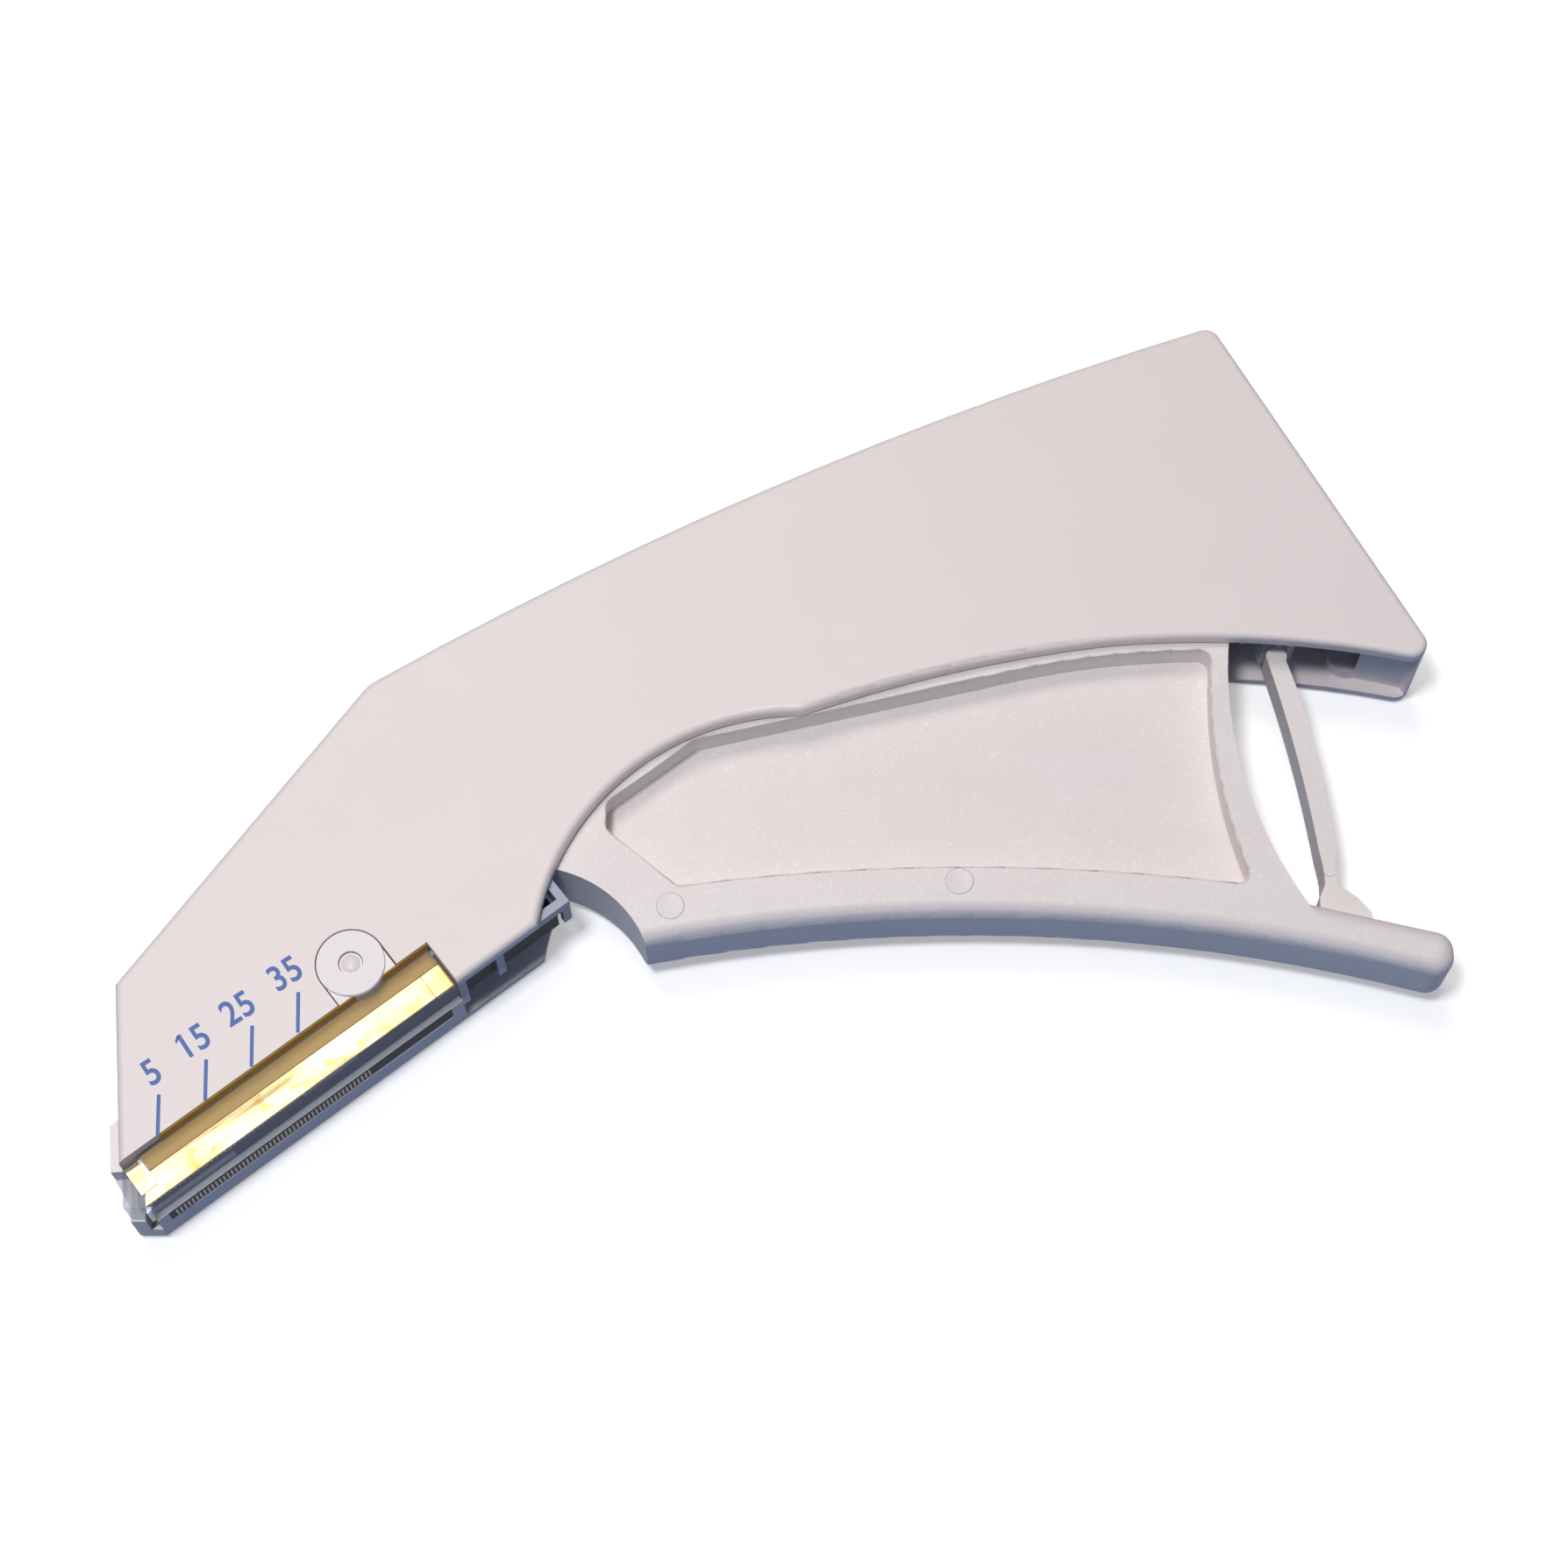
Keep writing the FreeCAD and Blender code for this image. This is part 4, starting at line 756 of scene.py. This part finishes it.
def recess_rim():
    """The edges between the trigger's near face and the walls of its recess, in millimetres."""
    shape = bmesh.new()
    shape.from_mesh(nodes["trigger"].data)
    rim = []
    for edge in shape.edges:
        ends = [Vector(vert.co) / MM for vert in edge.verts]
        if any(abs(end.z - TRIGGER_FACE) > SAME_HEIGHT for end in ends):
            continue
        walls = [face.normal for face in edge.link_faces if abs(face.normal.z) < STEEP]
        inward = RECESS_MIDDLE - ((ends[0] + ends[1]) / 2).xy
        if len(walls) == 1 and walls[0].xy.dot(inward) > 0 and ends[0].y > RECESS_LOW:
            rim.append(ends)
    shape.free()
    return rim


def bead(name, rim):
    """A round bead along loose edges."""
    shape = bmesh.new()
    for start, end in rim:
        run = end - start
        middle = (start + end) / 2 - Vector((0, 0, BEAD_SINK))
        turn = run.to_track_quat("Z", "Y").to_matrix().to_4x4()
        bmesh.ops.create_cone(shape, cap_ends=True, segments=BEAD_SIDES, radius1=BEAD_RADIUS,
                              radius2=BEAD_RADIUS, depth=run.length + BEAD_OVERLAP,
                              matrix=Matrix.Translation(middle) @ turn)
    for face in shape.faces:
        face.smooth = True
    bmesh.ops.scale(shape, vec=(MM, MM, MM), verts=shape.verts)
    made = piece_from(shape, name)
    paint(made, "lever")
    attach(made, "trigger")


rim = recess_rim()
bead("recess_bead", rim)
print("recess rim edges:", len(rim))

# %% [markdown]
# Through the clear cover and under the magazine show thin folded and cut pieces: the gold strip's
# upper lip and bright front end, a nearly black strip of painted shade over the slot that the
# legs' tips stand in, the tips themselves in a close row, and the bright edge of the track. They
# are slim bars with rounded edges, laid in the magazine's frame. Each bar is given by its low and
# its high corner in millimetres.

# %% Bars in the magazine's frame
LIP = ((2.6, 4.15, 12.03), (44.5, 6.27, 12.25))
LIP_WALL = ((6.0, 6.18, 12.2), (44.6, 6.27, 14.5))
LIP_EDGE = 0.03
NOSE = ((0.35, 2.2, 12.03), (2.7, 6.0, 12.2))
NOSE_EDGE = 0.05
GLINT = ((2.2, 2.3, 12.2), (2.65, 6.0, 12.36))
GLINT_EDGE = 0.12
SLOT = ((1.6, -0.03, 4.7), (43.0, 0.02, 7.4))
TRACK_EDGE = ((5.0, -0.05, 4.45), (43.0, 0.02, 4.7))
CUT_EDGE = 0.01
TIP_START = 2.5
TIP_PITCH = 0.56
TIP_WIDTH = 0.24
TIP_COUNT = 51
TIP_LOW = (-0.06, 5.0)
TIP_HIGH = (-0.02, 6.9)


def bars(name, spans, edge, finish):
    """Slim bars with rounded edges, as one piece."""
    shape = bmesh.new()
    for low, high in spans:
        low = Vector(low)
        high = Vector(high)
        fresh = bmesh.ops.create_cube(shape, size=1.0)["verts"]
        bmesh.ops.scale(shape, vec=high - low, verts=fresh)
        bmesh.ops.translate(shape, vec=(low + high) / 2, verts=fresh)
    bmesh.ops.bevel(shape, geom=list(shape.edges), offset=edge, segments=2, affect="EDGES")
    for vert in shape.verts:
        vert.co = magazine.at(*vert.co)
    bmesh.ops.recalc_face_normals(shape, faces=shape.faces)
    made = piece_from(shape, name)
    paint(made, finish)
    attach(made, "housing")


tips = []
for step in range(TIP_COUNT):
    start = TIP_START + step * TIP_PITCH
    tips.append(((start, *TIP_LOW), (start + TIP_WIDTH, *TIP_HIGH)))

# The lip and the sheet on the window's wall take the gold with painted shade.
bars("channel_lip", [LIP, LIP_WALL], LIP_EDGE, "shaded gold")
bars("channel_nose", [NOSE], NOSE_EDGE, "gold")
bars("nose_glint", [GLINT], GLINT_EDGE, "steel")
# Painted shade: a nearly black strip laid where the slot lies in shade.
bars("slot_shade", [SLOT], CUT_EDGE, "shade")
# The tips take the drawn wire with painted shade.
bars("leg_tips", tips, CUT_EDGE, "shaded wire")
bars("track_edge", [TRACK_EDGE], CUT_EDGE, "steel")
print("bars laid in the magazine, with", len(tips), "tips")

# %% [markdown]
# The studio is a pale floor under a plain white room. The camera, and light that comes through
# the clear cover, see the floor at its full brightness, reflections see it a little bluer, and
# soft light falls back from it as from a dark blue cloth. So the flat faces stay warm and the
# side faces turn cool, as on the real object.

# %% Floor
PALE = (0.97, 0.97, 0.98)
CLOTH = (0.05, 0.12, 0.29)
NO_GLOW = (0.0, 0.0, 0.0)
GLOW = (0.36, 0.35, 0.33)
FLOOR_SIZE = 6.0
FLOOR_DROP = 0.2


def in_sight(tree, mirrored=1.0):
    """1 for what is seen, less for what is mirrored, and 0 for what soft light falls on."""
    path = add_node(tree, "ShaderNodeLightPath")
    seen = Field(tree, path.outputs["Is Camera Ray"])
    seen = seen + Field(tree, path.outputs["Is Glossy Ray"]) * mirrored
    return seen.maths("ADD", Field(tree, path.outputs["Is Transmission Ray"]), clamp=True)


def floor_finish():
    """White to the camera, bluer to reflections, cool and dark to soft light."""
    finish = Finish("pale_floor", PALE, 0.9)
    seen = in_sight(finish.tree, mirrored=0.5)
    finish.set("Base Color", finish.blend(seen, CLOTH, PALE))
    finish.set("Emission Color", finish.blend(seen, NO_GLOW, GLOW))
    finish.set("Emission Strength", 1.0)
    return finish.material


bpy.ops.object.select_all(action="DESELECT")
bpy.ops.mesh.primitive_plane_add(size=FLOOR_SIZE, location=(0, 0, -FLOOR_DROP * MM))
floor = bpy.context.object
floor.name = "floor"
floor.data.materials.append(floor_finish())
print("floor:", FLOOR_SIZE, "m wide")

# %% [markdown]
# The room works in the same way: white where it is seen, and a faint cool light on everything
# else. A mix of two backgrounds does it.

# %% World
world = bpy.data.worlds.new("studio")
world.use_nodes = True
sky = world.node_tree
soft = sky.nodes["Background"]
soft.inputs["Color"].default_value = (0.45, 0.60, 0.95, 1.0)
soft.inputs["Strength"].default_value = 0.12
plain = add_node(sky, "ShaderNodeBackground", sockets={"Color": (*PALE, 1.0)})
parts = {0: in_sight(sky), 1: soft.outputs[0], 2: plain.outputs[0]}
choice = add_node(sky, "ShaderNodeMixShader", sockets=parts)
plug(sky, sky.nodes["World Output"].inputs["Surface"], choice.outputs[0])
bpy.context.scene.world = world
print("world:", world.name)

# %% [markdown]
# Four soft lamps light the object. A warm one stands above and beyond its back, so that the flat
# faces gleam towards the camera. A small one over the nose is the key, which draws the edges and
# the gold strip's highlights. A wide warm one lies overhead, and a blue one stands low in front
# and fills the side faces.

# %% Lamps
AIM = Vector((36.0, 10.0, 5.0)) * MM


def lamp(name, direction, distance, size, power, color):
    """A soft rectangular lamp that points at the object."""
    data = bpy.data.lights.new(name, "AREA")
    data.shape = "RECTANGLE"
    data.size = size[0]
    data.size_y = size[1]
    data.energy = power
    data.color = color
    thing = bpy.data.objects.new(name, data)
    bpy.context.scene.collection.objects.link(thing)
    away = Vector(direction).normalized()
    thing.location = AIM + away * distance
    thing.rotation_mode = "QUATERNION"
    thing.rotation_quaternion = away.to_track_quat("Z", "Y")


lamp("gleam", (-0.14, 0.38, 0.92), distance=0.9, size=(0.4, 0.28), power=2.2,
     color=(1.0, 0.88, 0.79))
lamp("key", (-0.20, -0.12, 1.0), distance=0.75, size=(0.12, 0.12), power=2.95,
     color=(0.96, 0.97, 1.0))
lamp("top", (0.1, 0.14, 1.0), distance=1.1, size=(0.5, 0.5), power=0.5,
     color=(1.0, 0.91, 0.83))
lamp("low fill", (0.1, -0.95, 0.35), distance=0.9, size=(0.8, 0.3), power=0.42,
     color=(0.20, 0.46, 1.0))

# %% [markdown]
# The camera stands where the photograph was taken from: 22 degrees off square, below the trigger,
# with a lens about twice as long as the frame is wide.

# %% Camera
CAMERA_TILT = math.radians(22.0)
CAMERA_DISTANCE = 397.1
LENS = 74.36
SENSOR_WIDTH = 36.0
LOOK_AT = Vector((36.0, 8.5, BODY_WIDTH))

camera_data = bpy.data.cameras.new("camera")
camera_data.lens = LENS
camera_data.sensor_width = SENSOR_WIDTH
camera = bpy.data.objects.new("camera", camera_data)
bpy.context.scene.collection.objects.link(camera)
back = Vector((0, -math.sin(CAMERA_TILT), math.cos(CAMERA_TILT)))
camera.location = (LOOK_AT + back * CAMERA_DISTANCE) * MM
camera.rotation_euler = (CAMERA_TILT, 0, 0)
bpy.context.scene.camera = camera
bpy.context.scene.view_settings.view_transform = "Standard"
print("camera at", [round(v, 3) for v in camera.location])
